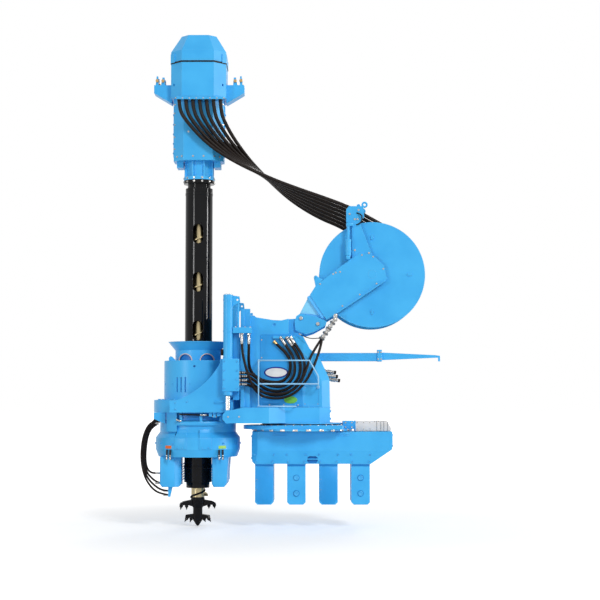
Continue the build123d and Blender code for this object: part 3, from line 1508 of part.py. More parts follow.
# Brackets hang from the deck beside the rotor; the left one's slanted foot carries the rotor's hoses.
BRACKET_LEFT = -2222
BRACKET_Y = -372
BRACKET_HALF_DEPTH = 28
BRACKET_FOOT_LEFT = (BRACKET_LEFT, 745)
BRACKET_FOOT_RIGHT = (-2062, 675)
ARM_HANGER_BOTTOM = 568
ARM_HANGER_R = 546
ARM_HANGER_THICK = 32
with BuildPart() as frame_brackets:
    with BuildSketch(side.offset(-BRACKET_Y - BRACKET_HALF_DEPTH)):
        outline(
            [
                (BRACKET_LEFT, FRAME_BOTTOM),
                BRACKET_FOOT_LEFT,
                BRACKET_FOOT_RIGHT,
                (BRACKET_FOOT_RIGHT[0], FRAME_BOTTOM),
            ]
        )
    extrude(amount=2 * BRACKET_HALF_DEPTH)
    with BuildSketch(Plane.XY.offset(ARM_HANGER_BOTTOM)):
        with Locations((AXIS_X, 0)):
            Circle(ARM_HANGER_R + ARM_HANGER_THICK)
            Circle(ARM_HANGER_R, mode=Mode.SUBTRACT)
        with Locations((-1965, -460)):
            Rectangle(150, 260, mode=Mode.INTERSECT)
    extrude(amount=FRAME_BOTTOM - ARM_HANGER_BOTTOM)
frame_brackets.part.label = "frame_brackets"
export_step(frame_brackets.part, "parts/frame_brackets.step")

# Each hose leaves the slanted foot square to it, hangs in a bow, and ends level in the left leg.
ROTOR_HOSE_R = 14
rotor_lines = [
    [
        (0.1, 0), (0.1, 150), (-2345, 430), (-2395, 240), (-2400, 40), (-2350, -130),
        (-2250, -255), (-2130, -320), (-2022, -320),
    ],
    [
        (0.36, 0), (0.36, 145), (-2300, 425), (-2350, 240), (-2354, 60), (-2308, -90),
        (-2225, -200), (-2120, -262), (-2022, -262),
    ],
    [
        (0.63, 0), (0.63, 140), (-2257, 420), (-2302, 245), (-2310, 90), (-2294, -30),
        (-2256, -112), (-2200, -155), (-2134, -155),
    ],
    [
        (0.9, 0), (0.9, 135), (-2214, 410), (-2256, 250), (-2266, 160), (-2257, 85),
        (-2232, 28), (-2192, -15), (-2134, -15),
    ],
]
foot_run = Vector(*BRACKET_FOOT_RIGHT) - Vector(*BRACKET_FOOT_LEFT)
foot_out = Vector(foot_run.Y, -foot_run.X).normalized()
with BuildPart() as rotor_hoses:
    for line_points in rotor_lines:
        route = []
        for i, (x, z) in enumerate(line_points):
            if i < 2:
                share, out = x, z
                place = Vector(*BRACKET_FOOT_LEFT) + foot_run * share + foot_out * out
                x, z = place.X, place.Y
            across = min(max(i - 1, 0) / (len(line_points) - 3), 1)
            route.append((x, BRACKET_Y + 90 * across, z))
        hose(route, ROTOR_HOSE_R)
rotor_hoses.part.label = "rotor_hoses"
export_step(rotor_hoses.part, "parts/rotor_hoses.step")

with BuildPart() as leg_fitting:
    with BuildSketch(side.offset(240)):
        outline([(-2022, CHUCK_LEG_BOTTOM), (-2022, -345), (-1995, -345), (-1965, CHUCK_LEG_BOTTOM)])
    extrude(amount=84)
leg_fitting.part.label = "leg_fitting"
export_step(leg_fitting.part, "parts/leg_fitting.step")
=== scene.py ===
"""A press-in pile driver rig, dressed for its picture: paint, bolts, seams, hoses and fittings.
It stands on four clamps, turns its mast on a slide frame, and drives an auger down through its chuck.
Metres, in the frame of the solids: X along the saddle, Y across, Z up."""

import math

import bpy
from mathutils import Matrix, Vector


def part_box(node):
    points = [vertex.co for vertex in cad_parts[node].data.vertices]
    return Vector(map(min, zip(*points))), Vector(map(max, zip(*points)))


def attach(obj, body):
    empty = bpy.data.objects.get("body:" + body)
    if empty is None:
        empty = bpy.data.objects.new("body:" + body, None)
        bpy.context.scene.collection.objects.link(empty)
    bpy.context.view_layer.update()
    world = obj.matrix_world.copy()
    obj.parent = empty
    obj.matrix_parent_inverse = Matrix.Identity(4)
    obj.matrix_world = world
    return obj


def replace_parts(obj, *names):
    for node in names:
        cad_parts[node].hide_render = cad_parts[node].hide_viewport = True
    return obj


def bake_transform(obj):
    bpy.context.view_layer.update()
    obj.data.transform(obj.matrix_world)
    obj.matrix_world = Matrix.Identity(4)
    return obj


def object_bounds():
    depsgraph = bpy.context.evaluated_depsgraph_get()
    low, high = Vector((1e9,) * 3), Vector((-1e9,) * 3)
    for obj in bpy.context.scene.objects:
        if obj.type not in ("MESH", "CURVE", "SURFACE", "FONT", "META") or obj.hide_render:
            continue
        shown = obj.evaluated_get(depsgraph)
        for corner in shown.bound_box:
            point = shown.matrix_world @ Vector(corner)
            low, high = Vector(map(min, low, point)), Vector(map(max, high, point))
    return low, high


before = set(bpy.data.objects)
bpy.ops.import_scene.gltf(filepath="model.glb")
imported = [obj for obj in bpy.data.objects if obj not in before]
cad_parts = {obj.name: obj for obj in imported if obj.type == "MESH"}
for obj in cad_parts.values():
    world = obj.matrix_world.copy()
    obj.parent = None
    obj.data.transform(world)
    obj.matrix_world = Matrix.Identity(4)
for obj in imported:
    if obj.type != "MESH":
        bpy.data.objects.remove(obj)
solid_low, solid_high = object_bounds()
bpy.ops.object.select_all(action="DESELECT")

# The studio is a pale floor in a white room. The camera stands far off on the near side, at the
# height of the mast's foot, and looks slightly up.
EYE = Vector((-0.088, -21.3, 1.017))
EYE_PITCH = math.radians(3.824)
EYE_YAW = math.radians(-0.235)
bpy.ops.object.camera_add(location=EYE)
camera = bpy.context.object
level = math.cos(EYE_PITCH)
gaze = Vector((math.sin(EYE_YAW) * level, math.cos(EYE_YAW) * level, math.sin(EYE_PITCH)))
camera.rotation_euler = gaze.to_track_quat("-Z", "Y").to_euler()
camera.data.lens = 89.26
camera.data.sensor_width = 36
bpy.context.scene.camera = camera

FLOOR_Z = solid_low.z - 0.004
bpy.ops.mesh.primitive_plane_add(size=400, location=(0, 0, FLOOR_Z))
floor = bpy.context.object
floor.name = "floor"


def feed(node, inputs):
    """Fills a node's sockets: a value is set there, and another node's output is linked."""
    for socket, value in inputs.items():
        if isinstance(value, bpy.types.NodeSocket):
            node.id_data.links.new(value, node.inputs[socket])
        else:
            node.inputs[socket].default_value = value
    return node


def add_node(tree, kind, inputs, **settings):
    """Adds a shader node, with its settings and what its sockets hold."""
    node = tree.nodes.new("ShaderNode" + kind)
    for name, value in settings.items():
        setattr(node, name, value)
    return feed(node, inputs)


def new_finish(name):
    """A new material, its node tree and its main shader."""
    finish = bpy.data.materials.new(name)
    finish.use_nodes = True
    return finish, finish.node_tree, finish.node_tree.nodes["Principled BSDF"]


def white_where_seen(tree, lit, white):
    """Mixes two shaders: what lights the rig, and a plain white for the camera and for reflections."""
    rays = add_node(tree, "LightPath", {}).outputs
    seen = add_node(
        tree, "Math", {0: rays["Is Camera Ray"], 1: rays["Is Glossy Ray"]}, operation="MAXIMUM"
    )
    clear = add_node(
        tree, "Math", {0: seen.outputs[0], 1: rays["Is Transmission Ray"]}, operation="MAXIMUM"
    )
    return add_node(tree, "MixShader", {0: clear.outputs[0], 1: lit.outputs[0], 2: white.outputs[0]})


WHITE = (1, 1, 1, 1)
FADE_START, FADE_END = 2.5, 9
FLOOR_LIFT = 0.30
ROOM_LIGHT = 0.44
floor_paint, tree, shader = new_finish("pale_floor")
feed(shader, {"Base Color": (0.93, 0.94, 0.95, 1), "Roughness": 0.9, "Specular IOR Level": 0.1})
white = add_node(tree, "Emission", {"Color": WHITE, "Strength": 1})
where = add_node(tree, "TexCoord", {}).outputs["Object"]
reach = add_node(tree, "VectorMath", {0: where}, operation="LENGTH").outputs["Value"]
fade = add_node(
    tree,
    "MapRange",
    {"From Min": FADE_START, "From Max": FADE_END, "Value": reach},
    interpolation_type="SMOOTHSTEP",
)
seen = white_where_seen(tree, shader, white)
mix = add_node(tree, "MixShader", {0: fade.outputs["Result"], 1: shader.outputs[0], 2: seen.outputs[0]})
camera_ray = add_node(tree, "LightPath", {}).outputs["Is Camera Ray"]
lift = add_node(tree, "Emission", {"Color": camera_ray, "Strength": FLOOR_LIFT})
lifted = add_node(tree, "AddShader", {0: mix.outputs[0], 1: lift.outputs[0]})
feed(tree.nodes["Material Output"], {"Surface": lifted.outputs[0]})
floor.data.materials.append(floor_paint)

world = bpy.data.worlds.new("white_room")
bpy.context.scene.world = world
world.use_nodes = True
room = world.node_tree
lit = feed(room.nodes["Background"], {"Color": WHITE, "Strength": ROOM_LIGHT})
white = add_node(room, "Background", {"Color": WHITE, "Strength": 1})
feed(room.nodes["World Output"], {"Surface": white_where_seen(room, lit, white).outputs[0]})

for lamp_name, lamp_place, lamp_energy, lamp_angle in (
    ("key", (7, -13, 10), 1.30, 14),
    ("fill", (-10.5, -12.1, 3.1), 0.45, 9),
    ("side", (16, -2.5, 3.4), 0.75, 8),
    ("back", (4, 14, 9), 0.5, 20),
):
    bpy.ops.object.light_add(type="SUN", location=lamp_place)
    lamp = bpy.context.object
    lamp.name = lamp_name
    lamp.rotation_euler = (Vector((0, 0, 2)) - Vector(lamp_place)).to_track_quat("-Z", "Y").to_euler()
    lamp.data.energy = lamp_energy
    lamp.data.angle = math.radians(lamp_angle)
bpy.context.scene.view_settings.view_transform = "Standard"


# Azure enamel covers every plate and casting. It is sprayed on thickly, so it is smooth with a faint
# orange peel and a little uneven in tone. It is paler along edges: partly where it has rubbed thin,
# partly a painted highlight where the edges catch the light.
AZURE = (0.056, 0.455, 0.88)
AZURE_DEEP = (0.042, 0.405, 0.83)
AZURE_PALE = (0.15, 0.57, 0.93)


def two_tones(tree, share, low, high):
    """Two colours, mixed by a share."""
    return add_node(tree, "Mix", {"A": low, "B": high, "Factor": share}, data_type="RGBA").outputs["Result"]


def enamel(name, colour, deep, edge, rough=0.34, round_edge=0.006, shine=0.32):
    """A sprayed coat: two tones of cloudy paint, a pale edge that is wear and painted highlight, and a fine
    bump.
    """
    finish, tree, shader = new_finish(name)
    where = add_node(tree, "TexCoord", {}).outputs["Object"]
    clouds = add_node(tree, "TexNoise", {"Scale": 2.4, "Detail": 5, "Vector": where}).outputs["Fac"]
    spread = add_node(tree, "MapRange", {"From Min": 0.35, "From Max": 0.6, "Value": clouds})
    tones = two_tones(tree, spread.outputs["Result"], (*deep, 1), (*colour, 1))
    soft = add_node(tree, "Bevel", {"Radius": round_edge}, samples=4).outputs["Normal"]
    plain = add_node(tree, "NewGeometry", {}).outputs["Normal"]
    bend = add_node(tree, "VectorMath", {0: soft, 1: plain}, operation="DOT_PRODUCT").outputs["Value"]
    # Edges are mixed towards the pale colour: partly wear, partly a painted highlight.
    edge_wear_and_highlight = add_node(tree, "MapRange", {"From Min": 0.995, "From Max": 0.86, "Value": bend})
    tones_with_edge_wear_and_highlight = two_tones(tree, edge_wear_and_highlight.outputs["Result"], tones, (*edge, 1))
    peel = add_node(tree, "TexNoise", {"Scale": 160, "Detail": 2, "Vector": where}).outputs["Fac"]
    bump = add_node(tree, "Bump", {"Strength": 0.06, "Distance": 0.002, "Height": peel, "Normal": soft})
    feed(shader, {"Base Color": tones_with_edge_wear_and_highlight, "Normal": bump.outputs["Normal"]})
    feed(shader, {"Roughness": rough, "Specular IOR Level": shine})
    return finish


azure = enamel("azure_enamel", AZURE, AZURE_DEEP, AZURE_PALE)


def coat(finish, *nodes):
    """Gives solids of the frame a finish."""
    for node in nodes:
        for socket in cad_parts[node].material_slots:
            socket.material = finish


coat(azure, "saddle", "clamp_legs", "slide_frame", "slew_ring", "slide_bracket", "mast_base", "mast_body")
coat(azure, "mast_rails", "reel_arm_near", "reel_arm_far", "reel_axle", "reel_drum", "hose_guide")
coat(azure, "guide_cylinder", "hanger_boom", "loop_manifold", "chuck_deck", "chuck_side_plates")
coat(azure, "guide_shoes", "stroke_barrels", "barrel_carriers", "chuck_shell", "chuck_funnel")
coat(azure, "casing_steady", "hose_bracket", "drive_upper", "drive_cover", "drive_lower", "drive_ears")
coat(azure, "drive_output", "frame_brackets", "chuck_rotor", "chuck_legs", "leg_fitting")


# Bare and plated steels, chrome and bronze show the strokes of the tool that turned or drew them. Black
# enamel covers the casing, and the slide cylinder's cover is a coated grey cloth.
def bare_metal(name, colour, rough, streak):
    """Turned or drawn metal, with fine streaks along Z in its shine."""
    finish, tree, shader = new_finish(name)
    where = add_node(tree, "TexCoord", {}).outputs["Object"]
    stretch = add_node(tree, "Mapping", {"Scale": (60, 60, 3), "Vector": where}).outputs["Vector"]
    streaks = add_node(tree, "TexNoise", {"Scale": 1, "Detail": 4, "Vector": stretch}).outputs["Fac"]
    limits = {"To Min": max(rough - streak, 0.03), "To Max": rough + streak}
    shine = add_node(tree, "MapRange", {**limits, "Value": streaks}).outputs["Result"]
    tones = two_tones(tree, streaks, (*[0.82 * c for c in colour], 1), (*colour, 1))
    feed(shader, {"Base Color": tones, "Roughness": shine, "Metallic": 1})
    return finish


chrome = bare_metal("hard_chrome", (0.86, 0.87, 0.88), 0.10, 0.04)
jaw_steel = bare_metal("jaw_steel", (0.42, 0.43, 0.44), 0.38, 0.10)
fitting_steel = bare_metal("plated_fitting", (0.54, 0.53, 0.51), 0.26, 0.10)
dark_steel = bare_metal("dark_steel", (0.20, 0.20, 0.20), 0.34, 0.12)
bronze = bare_metal("bronze_pin", (0.60, 0.38, 0.16), 0.30, 0.08)
flight_steel = bare_metal("worn_flight", (0.52, 0.43, 0.25), 0.33, 0.12)
black_enamel = enamel(
    "black_enamel",
    (0.005, 0.005, 0.006),
    (0.003, 0.003, 0.004),
    (0.03, 0.03, 0.034),
    rough=0.10,
    round_edge=0.004,
    shine=0.16,
)
shade_blue = enamel("shade_blue", (0.004, 0.20, 0.58), (0.003, 0.16, 0.50), (0.01, 0.28, 0.68))
pale_enamel = enamel(
    "pale_enamel", (0.36, 0.66, 0.90), (0.28, 0.58, 0.86), (0.62, 0.82, 0.95), 0.4, 0.003
)
grey_cloth = enamel("grey_cover", (0.84, 0.79, 0.74), (0.76, 0.72, 0.68), (0.88, 0.84, 0.80), 0.62)
coat(chrome, "stroke_rods")
coat(jaw_steel, "clamp_jaw_1", "clamp_jaw_2", "clamp_jaw_3", "clamp_jaw_4")
coat(fitting_steel, "feed_fittings")
coat(flight_steel, "auger_shaft", "auger_flight")
coat(black_enamel, "casing", "casing_head", "auger_head", "auger_picks")
coat(pale_enamel, "guard_rail")
coat(grey_cloth, "slide_cover")

# The hoses are black rubber over wire braid, smooth outside. Seven run from the drive unit to the
# reel in a ribbon that twists half way; each winds into its own lane there, turn over turn.
HOSE_COUNT = 7
HOSE_LEVEL = 5.276
HOSE_ROW_Y = -0.375
HOSE_ROW_LEFT, HOSE_ROW_WIDTH = -1.893, 0.586
MOTOR_HOSE = 0.052
LANE = 0.096
REEL = Vector((0.846, 0, 2.777))
REEL_CORE = 0.300
OUTER_TURN, TURN_STEP = 0.690, 0.048
STEPS_A_TURN = 16
first_edge = (
    (HOSE_ROW_LEFT, HOSE_LEVEL), (-1.893, 5.136), (-1.787, 4.960), (-1.504, 4.652), (-1.137, 4.407),
    (-0.620, 4.165), (-0.230, 4.017), (0.168, 3.880), (0.544, 3.738),
)
last_edge = (
    (-1.307, HOSE_LEVEL), (-1.300, 5.090), (-1.215, 4.890), (-1.075, 4.665), (-0.860, 4.415),
    (-0.570, 4.148), (-0.289, 3.900), (0.085, 3.668), (0.436, 3.524),
)
twist = (0, 0, 0.02, 0.17, 0.62, 0.95, 1, 1, 1)

rubber, tree, shader = new_finish("black_rubber")
where = add_node(tree, "TexCoord", {}).outputs["Object"]
dust = add_node(tree, "TexNoise", {"Scale": 9, "Detail": 6, "Vector": where}).outputs["Fac"]
tones = two_tones(tree, dust, (0.003, 0.003, 0.003, 1), (0.018, 0.010, 0.007, 1))
grain = add_node(tree, "TexNoise", {"Scale": 260, "Vector": where}).outputs["Fac"]
bump = add_node(tree, "Bump", {"Strength": 0.25, "Distance": 0.001, "Height": grain})
feed(shader, {"Base Color": tones, "Normal": bump.outputs["Normal"]})
feed(shader, {"Roughness": 0.42, "Specular IOR Level": 0.18})


def new_curve(name, runs, kind):
    """A curve with one spline for each run of points."""
    line = bpy.data.curves.new(name, "CURVE")
    line.dimensions = "3D"
    line.resolution_u = 8
    for run in runs:
        spline = line.splines.new(kind)
        spline.points.add(len(run) - 1)
        for spot, place in zip(spline.points, run):
            spot.co = (*place, 1)
    curve = bpy.data.objects.new(name, line)
    bpy.context.collection.objects.link(curve)
    return curve


def thickened(curve, thickness, roundness):
    """Makes a curve a closed round tube, as a smooth mesh."""
    curve.data.bevel_depth = thickness / 2
    curve.data.bevel_resolution = roundness
    curve.data.use_fill_caps = True
    curve.select_set(True)
    bpy.context.view_layer.objects.active = curve
    bpy.ops.object.convert(target="MESH")
    bpy.ops.object.shade_smooth()
    curve.select_set(False)
    return curve


def hose(name, route, thickness):
    """A round hose on a smooth spline along its route. Gives the tube and the points of its line."""
    tube = new_curve(name, [route], "NURBS")
    tube.data.splines[0].order_u = 3
    tube.data.splines[0].use_endpoint_u = True
    bpy.context.view_layer.update()
    path = [vertex.co.copy() for vertex in bpy.data.meshes.new_from_object(tube).vertices]
    thickened(tube, thickness, 4)
    tube.data.materials.clear()
    tube.data.materials.append(rubber)
    return tube, path


def free_hose(name, route, thickness):
    """A hose that hangs free between two fittings."""
    tube, path = hose(name, route, thickness)
    return tube


def tangent_point(x, z, radius):
    """Where a straight hose from (x, z) first touches a circle about the reel's axle."""
    dx, dz = x - REEL.x, z - REEL.z
    angle = math.atan2(dz, dx) - math.acos(radius / math.hypot(dx, dz))
    return REEL.x + radius * math.cos(angle), REEL.z + radius * math.sin(angle), angle


for i in range(HOSE_COUNT):
    share = i / (HOSE_COUNT - 1)
    lane = LANE * (i - 3)
    wound = OUTER_TURN - TURN_STEP * i
    route = []
    for (x0, z0), (x1, z1), turn in zip(first_edge, last_edge, twist):
        y = HOSE_ROW_Y + turn * (lane - HOSE_ROW_Y)
        route.append((x0 + share * (x1 - x0), y, z0 + share * (z1 - z0)))
    end_x, end_z, end_angle = tangent_point(route[-1][0], route[-1][2], wound)
    route.append(((route[-1][0] + end_x) / 2, lane, (route[-1][2] + end_z) / 2 + 0.006))
    route.append((end_x, lane, end_z))
    motor_hose = free_hose(f"motor_hose_{i + 1}", route, MOTOR_HOSE)
    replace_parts(motor_hose, "motor_hoses")
    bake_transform(motor_hose)
    turns = (wound - REEL_CORE - MOTOR_HOSE / 2) / MOTOR_HOSE
    coil = []
    for step in range(math.ceil(turns * STEPS_A_TURN) + 1):
        angle = end_angle - step * math.tau / STEPS_A_TURN
        radius = max(wound - MOTOR_HOSE * step / STEPS_A_TURN, REEL_CORE + MOTOR_HOSE / 2)
        coil.append((REEL.x + radius * math.cos(angle), lane, REEL.z + radius * math.sin(angle)))
    wound_hose, _ = hose(f"wound_hose_{i + 1}", coil, MOTOR_HOSE)
    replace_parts(wound_hose, "hose_winding")
    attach(wound_hose, "reel")

# Four hoses loop between the mast body and the chuck frame, so that they can follow the chuck down. One
# goes up to the bracket on the near stroke cylinder, and three go to couplings on its carrier.
LOOP_HOSE = 0.040
COUPLING_Y = -0.684
COUPLING_Z = (1.386, 1.337, 1.281, 1.226)
CARRIER_BACK = -1.012
loop_routes = (
    (
        (-0.880, -0.720, 1.932), (-0.880, -0.720, 1.700), (-0.888, -0.650, 1.540), (-0.862, -0.565, 1.405),
        (-0.755, -0.515, 1.305), (-0.610, -0.495, 1.262), (-0.455, -0.492, 1.252), (-0.345, -0.492, 1.320),
        (-0.305, -0.492, 1.440), (-0.312, -0.490, 1.570), (-0.375, -0.484, 1.672), (-0.470, -0.482, 1.762),
        (-0.545, -0.482, 1.832),
    ),
    (
        (CARRIER_BACK, COUPLING_Y, COUPLING_Z[0]), (-0.875, COUPLING_Y, COUPLING_Z[0]),
        (-0.780, -0.630, 1.320),
        (-0.670, -0.565, 1.232), (-0.520, -0.538, 1.185), (-0.370, -0.538, 1.210), (-0.262, -0.538, 1.320),
        (-0.238, -0.538, 1.450), (-0.258, -0.530, 1.590), (-0.322, -0.500, 1.700), (-0.390, -0.484, 1.798),
        (-0.452, -0.482, 1.893),
    ),
    (
        (CARRIER_BACK, COUPLING_Y, COUPLING_Z[1]), (-0.875, COUPLING_Y, COUPLING_Z[1]),
        (-0.775, -0.612, 1.252),
        (-0.655, -0.535, 1.160), (-0.500, -0.492, 1.120), (-0.340, -0.492, 1.160), (-0.200, -0.492, 1.290),
        (-0.162, -0.492, 1.440), (-0.180, -0.492, 1.590), (-0.245, -0.488, 1.710), (-0.308, -0.482, 1.805),
        (-0.366, -0.482, 1.893),
    ),
    (
        (CARRIER_BACK, COUPLING_Y, COUPLING_Z[2]), (-0.885, COUPLING_Y, COUPLING_Z[2]),
        (-0.785, -0.560, 1.192),
        (-0.670, -0.515, 1.098), (-0.490, -0.530, 1.062), (-0.320, -0.545, 1.110), (-0.160, -0.545, 1.260),
        (-0.104, -0.542, 1.430), (-0.120, -0.535, 1.590), (-0.190, -0.505, 1.715), (-0.256, -0.484, 1.812),
        (-0.310, -0.482, 1.893),
    ),
)
for number, route in enumerate(loop_routes, 1):
    loop_hose = free_hose(f"loop_hose_{number}", route, LOOP_HOSE)
    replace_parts(loop_hose, "loop_hoses")
    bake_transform(loop_hose)

# Two supply hoses come down from the reel's arm, pass below the loops and rise again to the chuck
# frame: one to the hose bracket, one to the lowest coupling on the carrier.
FEED_HOSE = 0.036
FEED_TOP = Vector((0.327, 0, 2.150))
FEED_FOOT = Vector((0.135, 0, 1.872))
feed_routes = (
    (
        (FEED_FOOT.x, -0.470, FEED_FOOT.z), (0.122, -0.480, 1.780), (0.070, -0.530, 1.610),
        (0.005, -0.582, 1.440), (-0.100, -0.592, 1.255), (-0.230, -0.592, 1.110), (-0.385, -0.592, 1.040),
        (-0.540, -0.592, 1.028), (-0.690, -0.596, 1.058), (-0.785, -0.636, 1.130), (-0.838, -0.714, 1.222),
        (-0.886, -0.748, 1.352), (-0.945, -0.752, 1.540), (-0.978, -0.748, 1.740), (-0.978, -0.745, 1.932),
    ),
    (
        (FEED_FOOT.x, -0.425, FEED_FOOT.z), (0.062, -0.470, 1.770), (-0.032, -0.525, 1.600),
        (-0.085, -0.592, 1.430),
        (-0.140, -0.600, 1.290), (-0.240, -0.596, 1.160), (-0.380, -0.592, 1.100), (-0.530, -0.590, 1.088),
        (-0.665, -0.578, 1.104), (-0.775, -0.594, 1.155), (-0.885, COUPLING_Y, COUPLING_Z[3]),
        (CARRIER_BACK, COUPLING_Y, COUPLING_Z[3]),
    ),
)
for number, route in enumerate(feed_routes, 1):
    feed_hose = free_hose(f"feed_hose_{number}", route, FEED_HOSE)
    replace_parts(feed_hose, "feed_hoses")
    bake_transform(feed_hose)

# A thin pilot hose of the same rubber sags from a union on the mast body's edge to one beside the
# supply hoses' upper fittings. It moves with the mast.
pilot_route = (
    (-0.190, -0.462, 1.935), (-0.130, -0.470, 1.905), (-0.050, -0.478, 1.872), (0.040, -0.478, 1.866),
    (0.128, -0.448, 1.882),
)
PILOT_HOSE = 0.012
pilot_hose = free_hose("pilot_hose", pilot_route, PILOT_HOSE)
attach(pilot_hose, "mast")

# Four thin rubber hoses bow out from the bracket under the deck's left end and feed the left chuck
# leg. They are long enough to follow the rotor as it turns.
ROTOR_HOSE = 0.028
FOOT_LEFT = Vector((-2.222, 0, 0.745))
FOOT_RIGHT = Vector((-2.062, 0, 0.675))
FOOT_OUT = Vector((FOOT_RIGHT.z - FOOT_LEFT.z, 0, FOOT_LEFT.x - FOOT_RIGHT.x)).normalized()
ROTOR_HOSE_Y = -0.372
LEG_PORT_Y = ROTOR_HOSE_Y + 0.090
outer_bow = (
    (-2.300, 0.660), (-2.365, 0.520), (-2.396, 0.330), (-2.396, 0.130), (-2.350, -0.070), (-2.262, -0.215),
)
inner_bow = (
    (-2.262, 0.620), (-2.318, 0.500), (-2.344, 0.320), (-2.348, 0.150), (-2.322, 0.040), (-2.270, -0.010),
)
leg_ends = (
    ((-2.150, -0.300), (-2.022, -0.320)),
    ((-2.120, -0.262), (-2.022, -0.262)),
    ((-2.190, -0.140), (-2.134, -0.155)),
    ((-2.205, -0.018), (-2.134, -0.015)),
)
rotor_lines = []
for number, leg_end in enumerate(leg_ends):
    share = number / 3
    bow = []
    for (x0, z0), (x1, z1) in zip(outer_bow, inner_bow):
        bow.append((x0 + share * (x1 - x0), z0 + share * (z1 - z0)))
    rotor_lines.append((0.08 + 0.13 * number, -0.018 + 0.012 * number, (*bow, *leg_end)))
for number, (share, aside, hanging) in enumerate(rotor_lines, 1):
    root = FOOT_LEFT + share * (FOOT_RIGHT - FOOT_LEFT)
    below = root + 0.035 * FOOT_OUT
    stations = [(root.x, root.z), (below.x, below.z), *hanging]
    route = []
    for i, (x, z) in enumerate(stations):
        across = min(max(i - 1, 0) / (len(stations) - 3), 1)
        side = 2.2 * aside * min(i, len(stations) - 1 - i, 3) / 3
        route.append((x, ROTOR_HOSE_Y + side + 0.090 * across, z))
    rotor_hose = free_hose(f"rotor_hose_{number}", route, ROTOR_HOSE)
    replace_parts(rotor_hose, "rotor_hoses")
    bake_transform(rotor_hose)

# The saddle is a box of thick plate, folded along its middle. Socket screws hold the clamp legs in it,
# and small pads, welded on under the slide frame, stop the frame's travel.
SADDLE_LOW, SADDLE_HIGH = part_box("saddle")
CREASE_Z = 0.300
SADDLE_SLOPE = 0.034 / 0.184
CLAMP_X = (-0.675, -0.225, 0.225, 0.675)
UP, DOWN, LEFT, RIGHT, NEAR, FAR = (0, 0, 1), (0, 0, -1), (-1, 0, 0), (1, 0, 0), (0, -1, 0), (0, 1, 0)


def pick(piece, *ways):
    """Opens a piece in edit mode with only those faces chosen that face one of these ways."""
    bpy.context.view_layer.objects.active = piece
    bpy.ops.object.mode_set(mode="EDIT")
    bpy.ops.mesh.select_mode(type="FACE")
    bpy.ops.mesh.select_all(action="DESELECT")
    bpy.ops.object.mode_set(mode="OBJECT")
    for face in piece.data.polygons:
        face.select = any(face.normal.dot(way) > 0.9 for way in ways)
    bpy.ops.object.mode_set(mode="EDIT")


def inset(piece, ways, *steps):
    """Insets the faces of a piece that face these ways: each step is a width and a depth."""
    pick(piece, *ways)
    for width, depth in steps:
        bpy.ops.mesh.inset(thickness=width, depth=depth)
    bpy.ops.object.mode_set(mode="OBJECT")
    return piece


def block(low, high):
    """A box between two corners."""
    bpy.ops.mesh.primitive_cube_add(size=1, location=(Vector(low) + Vector(high)) / 2)
    box = bpy.context.object
    box.scale = Vector(high) - Vector(low)
    bpy.ops.object.transform_apply()
    box.select_set(False)
    return box


def soften(piece, width, segments=2, angle=30):
    """Rounds the sharp edges of a piece and shades it smooth up to that angle."""
    piece.select_set(True)
    bpy.context.view_layer.objects.active = piece
    if width:
        rounding = piece.modifiers.new("rounding", "BEVEL")
        rounding.width = width
        rounding.segments = segments
        rounding.limit_method = "ANGLE"
        rounding.angle_limit = math.radians(angle)
        bpy.ops.object.modifier_apply(modifier=rounding.name)
    bpy.ops.object.shade_smooth_by_angle(angle=math.radians(angle))
    piece.select_set(False)
    return piece


def round_bar(sides, radius, length, middle=(0, 0, 0), turn=(0, 0, 0)):
    """A plain cylinder about its middle."""
    bpy.ops.mesh.primitive_cylinder_add(
        vertices=sides, radius=radius, depth=length, location=middle, rotation=turn
    )
    bpy.ops.object.transform_apply()
    return bpy.context.object


def from_points(points, edges, faces, start=Matrix()):
    """A new piece, opened in edit mode with all of it selected."""
    mesh = bpy.data.meshes.new("blank")
    mesh.from_pydata(points, edges, faces)
    mesh.transform(start)
    piece = bpy.data.objects.new("blank", mesh)
    bpy.context.collection.objects.link(piece)
    bpy.context.view_layer.objects.active = piece
    bpy.ops.object.mode_set(mode="EDIT")
    bpy.ops.mesh.select_all(action="SELECT")
    return piece


def close_up():
    """Merges doubled points, turns all faces outwards, and leaves edit mode."""
    bpy.ops.mesh.select_all(action="SELECT")
    bpy.ops.mesh.remove_doubles(threshold=0.0001)
    bpy.ops.mesh.normals_make_consistent(inside=False)
    bpy.ops.object.mode_set(mode="OBJECT")


def turned(profile, steps=24, where=Matrix()):
    """A part turned on a lathe: its half profile, as radius and height, is spun round Z."""
    edges = [(i, i + 1) for i in range(len(profile) - 1)]
    piece = from_points([(radius, 0, height) for radius, height in profile], edges, [])
    bpy.ops.mesh.spin(steps=steps, angle=math.tau, center=(0, 0, 0), axis=UP)
    close_up()
    soften(piece, 0)
    piece.data.transform(where)
    return piece


def small_part(piece):
    """Takes a finished small part out of the scene, to be copied from."""
    bpy.context.collection.objects.unlink(piece)
    return piece


def fused(pieces):
    """Joins pieces into the first of them."""
    bpy.ops.object.select_all(action="DESELECT")
    for piece in pieces:
        piece.select_set(True)
    bpy.context.view_layer.objects.active = pieces[0]
    if len(pieces) > 1:
        bpy.ops.object.join()
    pieces[0].select_set(False)
    return pieces[0]


def joined(pieces, name, body, finish=azure):
    """Joins pieces into one, names it, gives it its finish and hangs it on its body."""
    whole = fused(pieces)
    whole.name = name
    whole.data.materials.clear()
    whole.data.materials.append(finish)
    for face in whole.data.polygons:
        face.material_index = 0
    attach(whole, body)
    return whole


def facing(place, way):
    """Puts what is made at the origin at a place, with its Z axis along a way."""
    return Matrix.Translation(place) @ Vector(way).to_track_quat("Z", "Y").to_matrix().to_4x4()


def stand(master, spots):
    """Copies of a small part, one at each spot: its place, the way that it faces, and its size."""
    copies = []
    for turn, (place, way, size) in enumerate(spots):
        copy = bpy.data.objects.new(master.name, master.data.copy())
        copy.data.transform(
            facing(place, way) @ Matrix.Rotation(2.4 * turn, 4, "Z") @ Matrix.Scale(size, 4)
        )
        bpy.context.collection.objects.link(copy)
        copies.append(copy)
    return copies


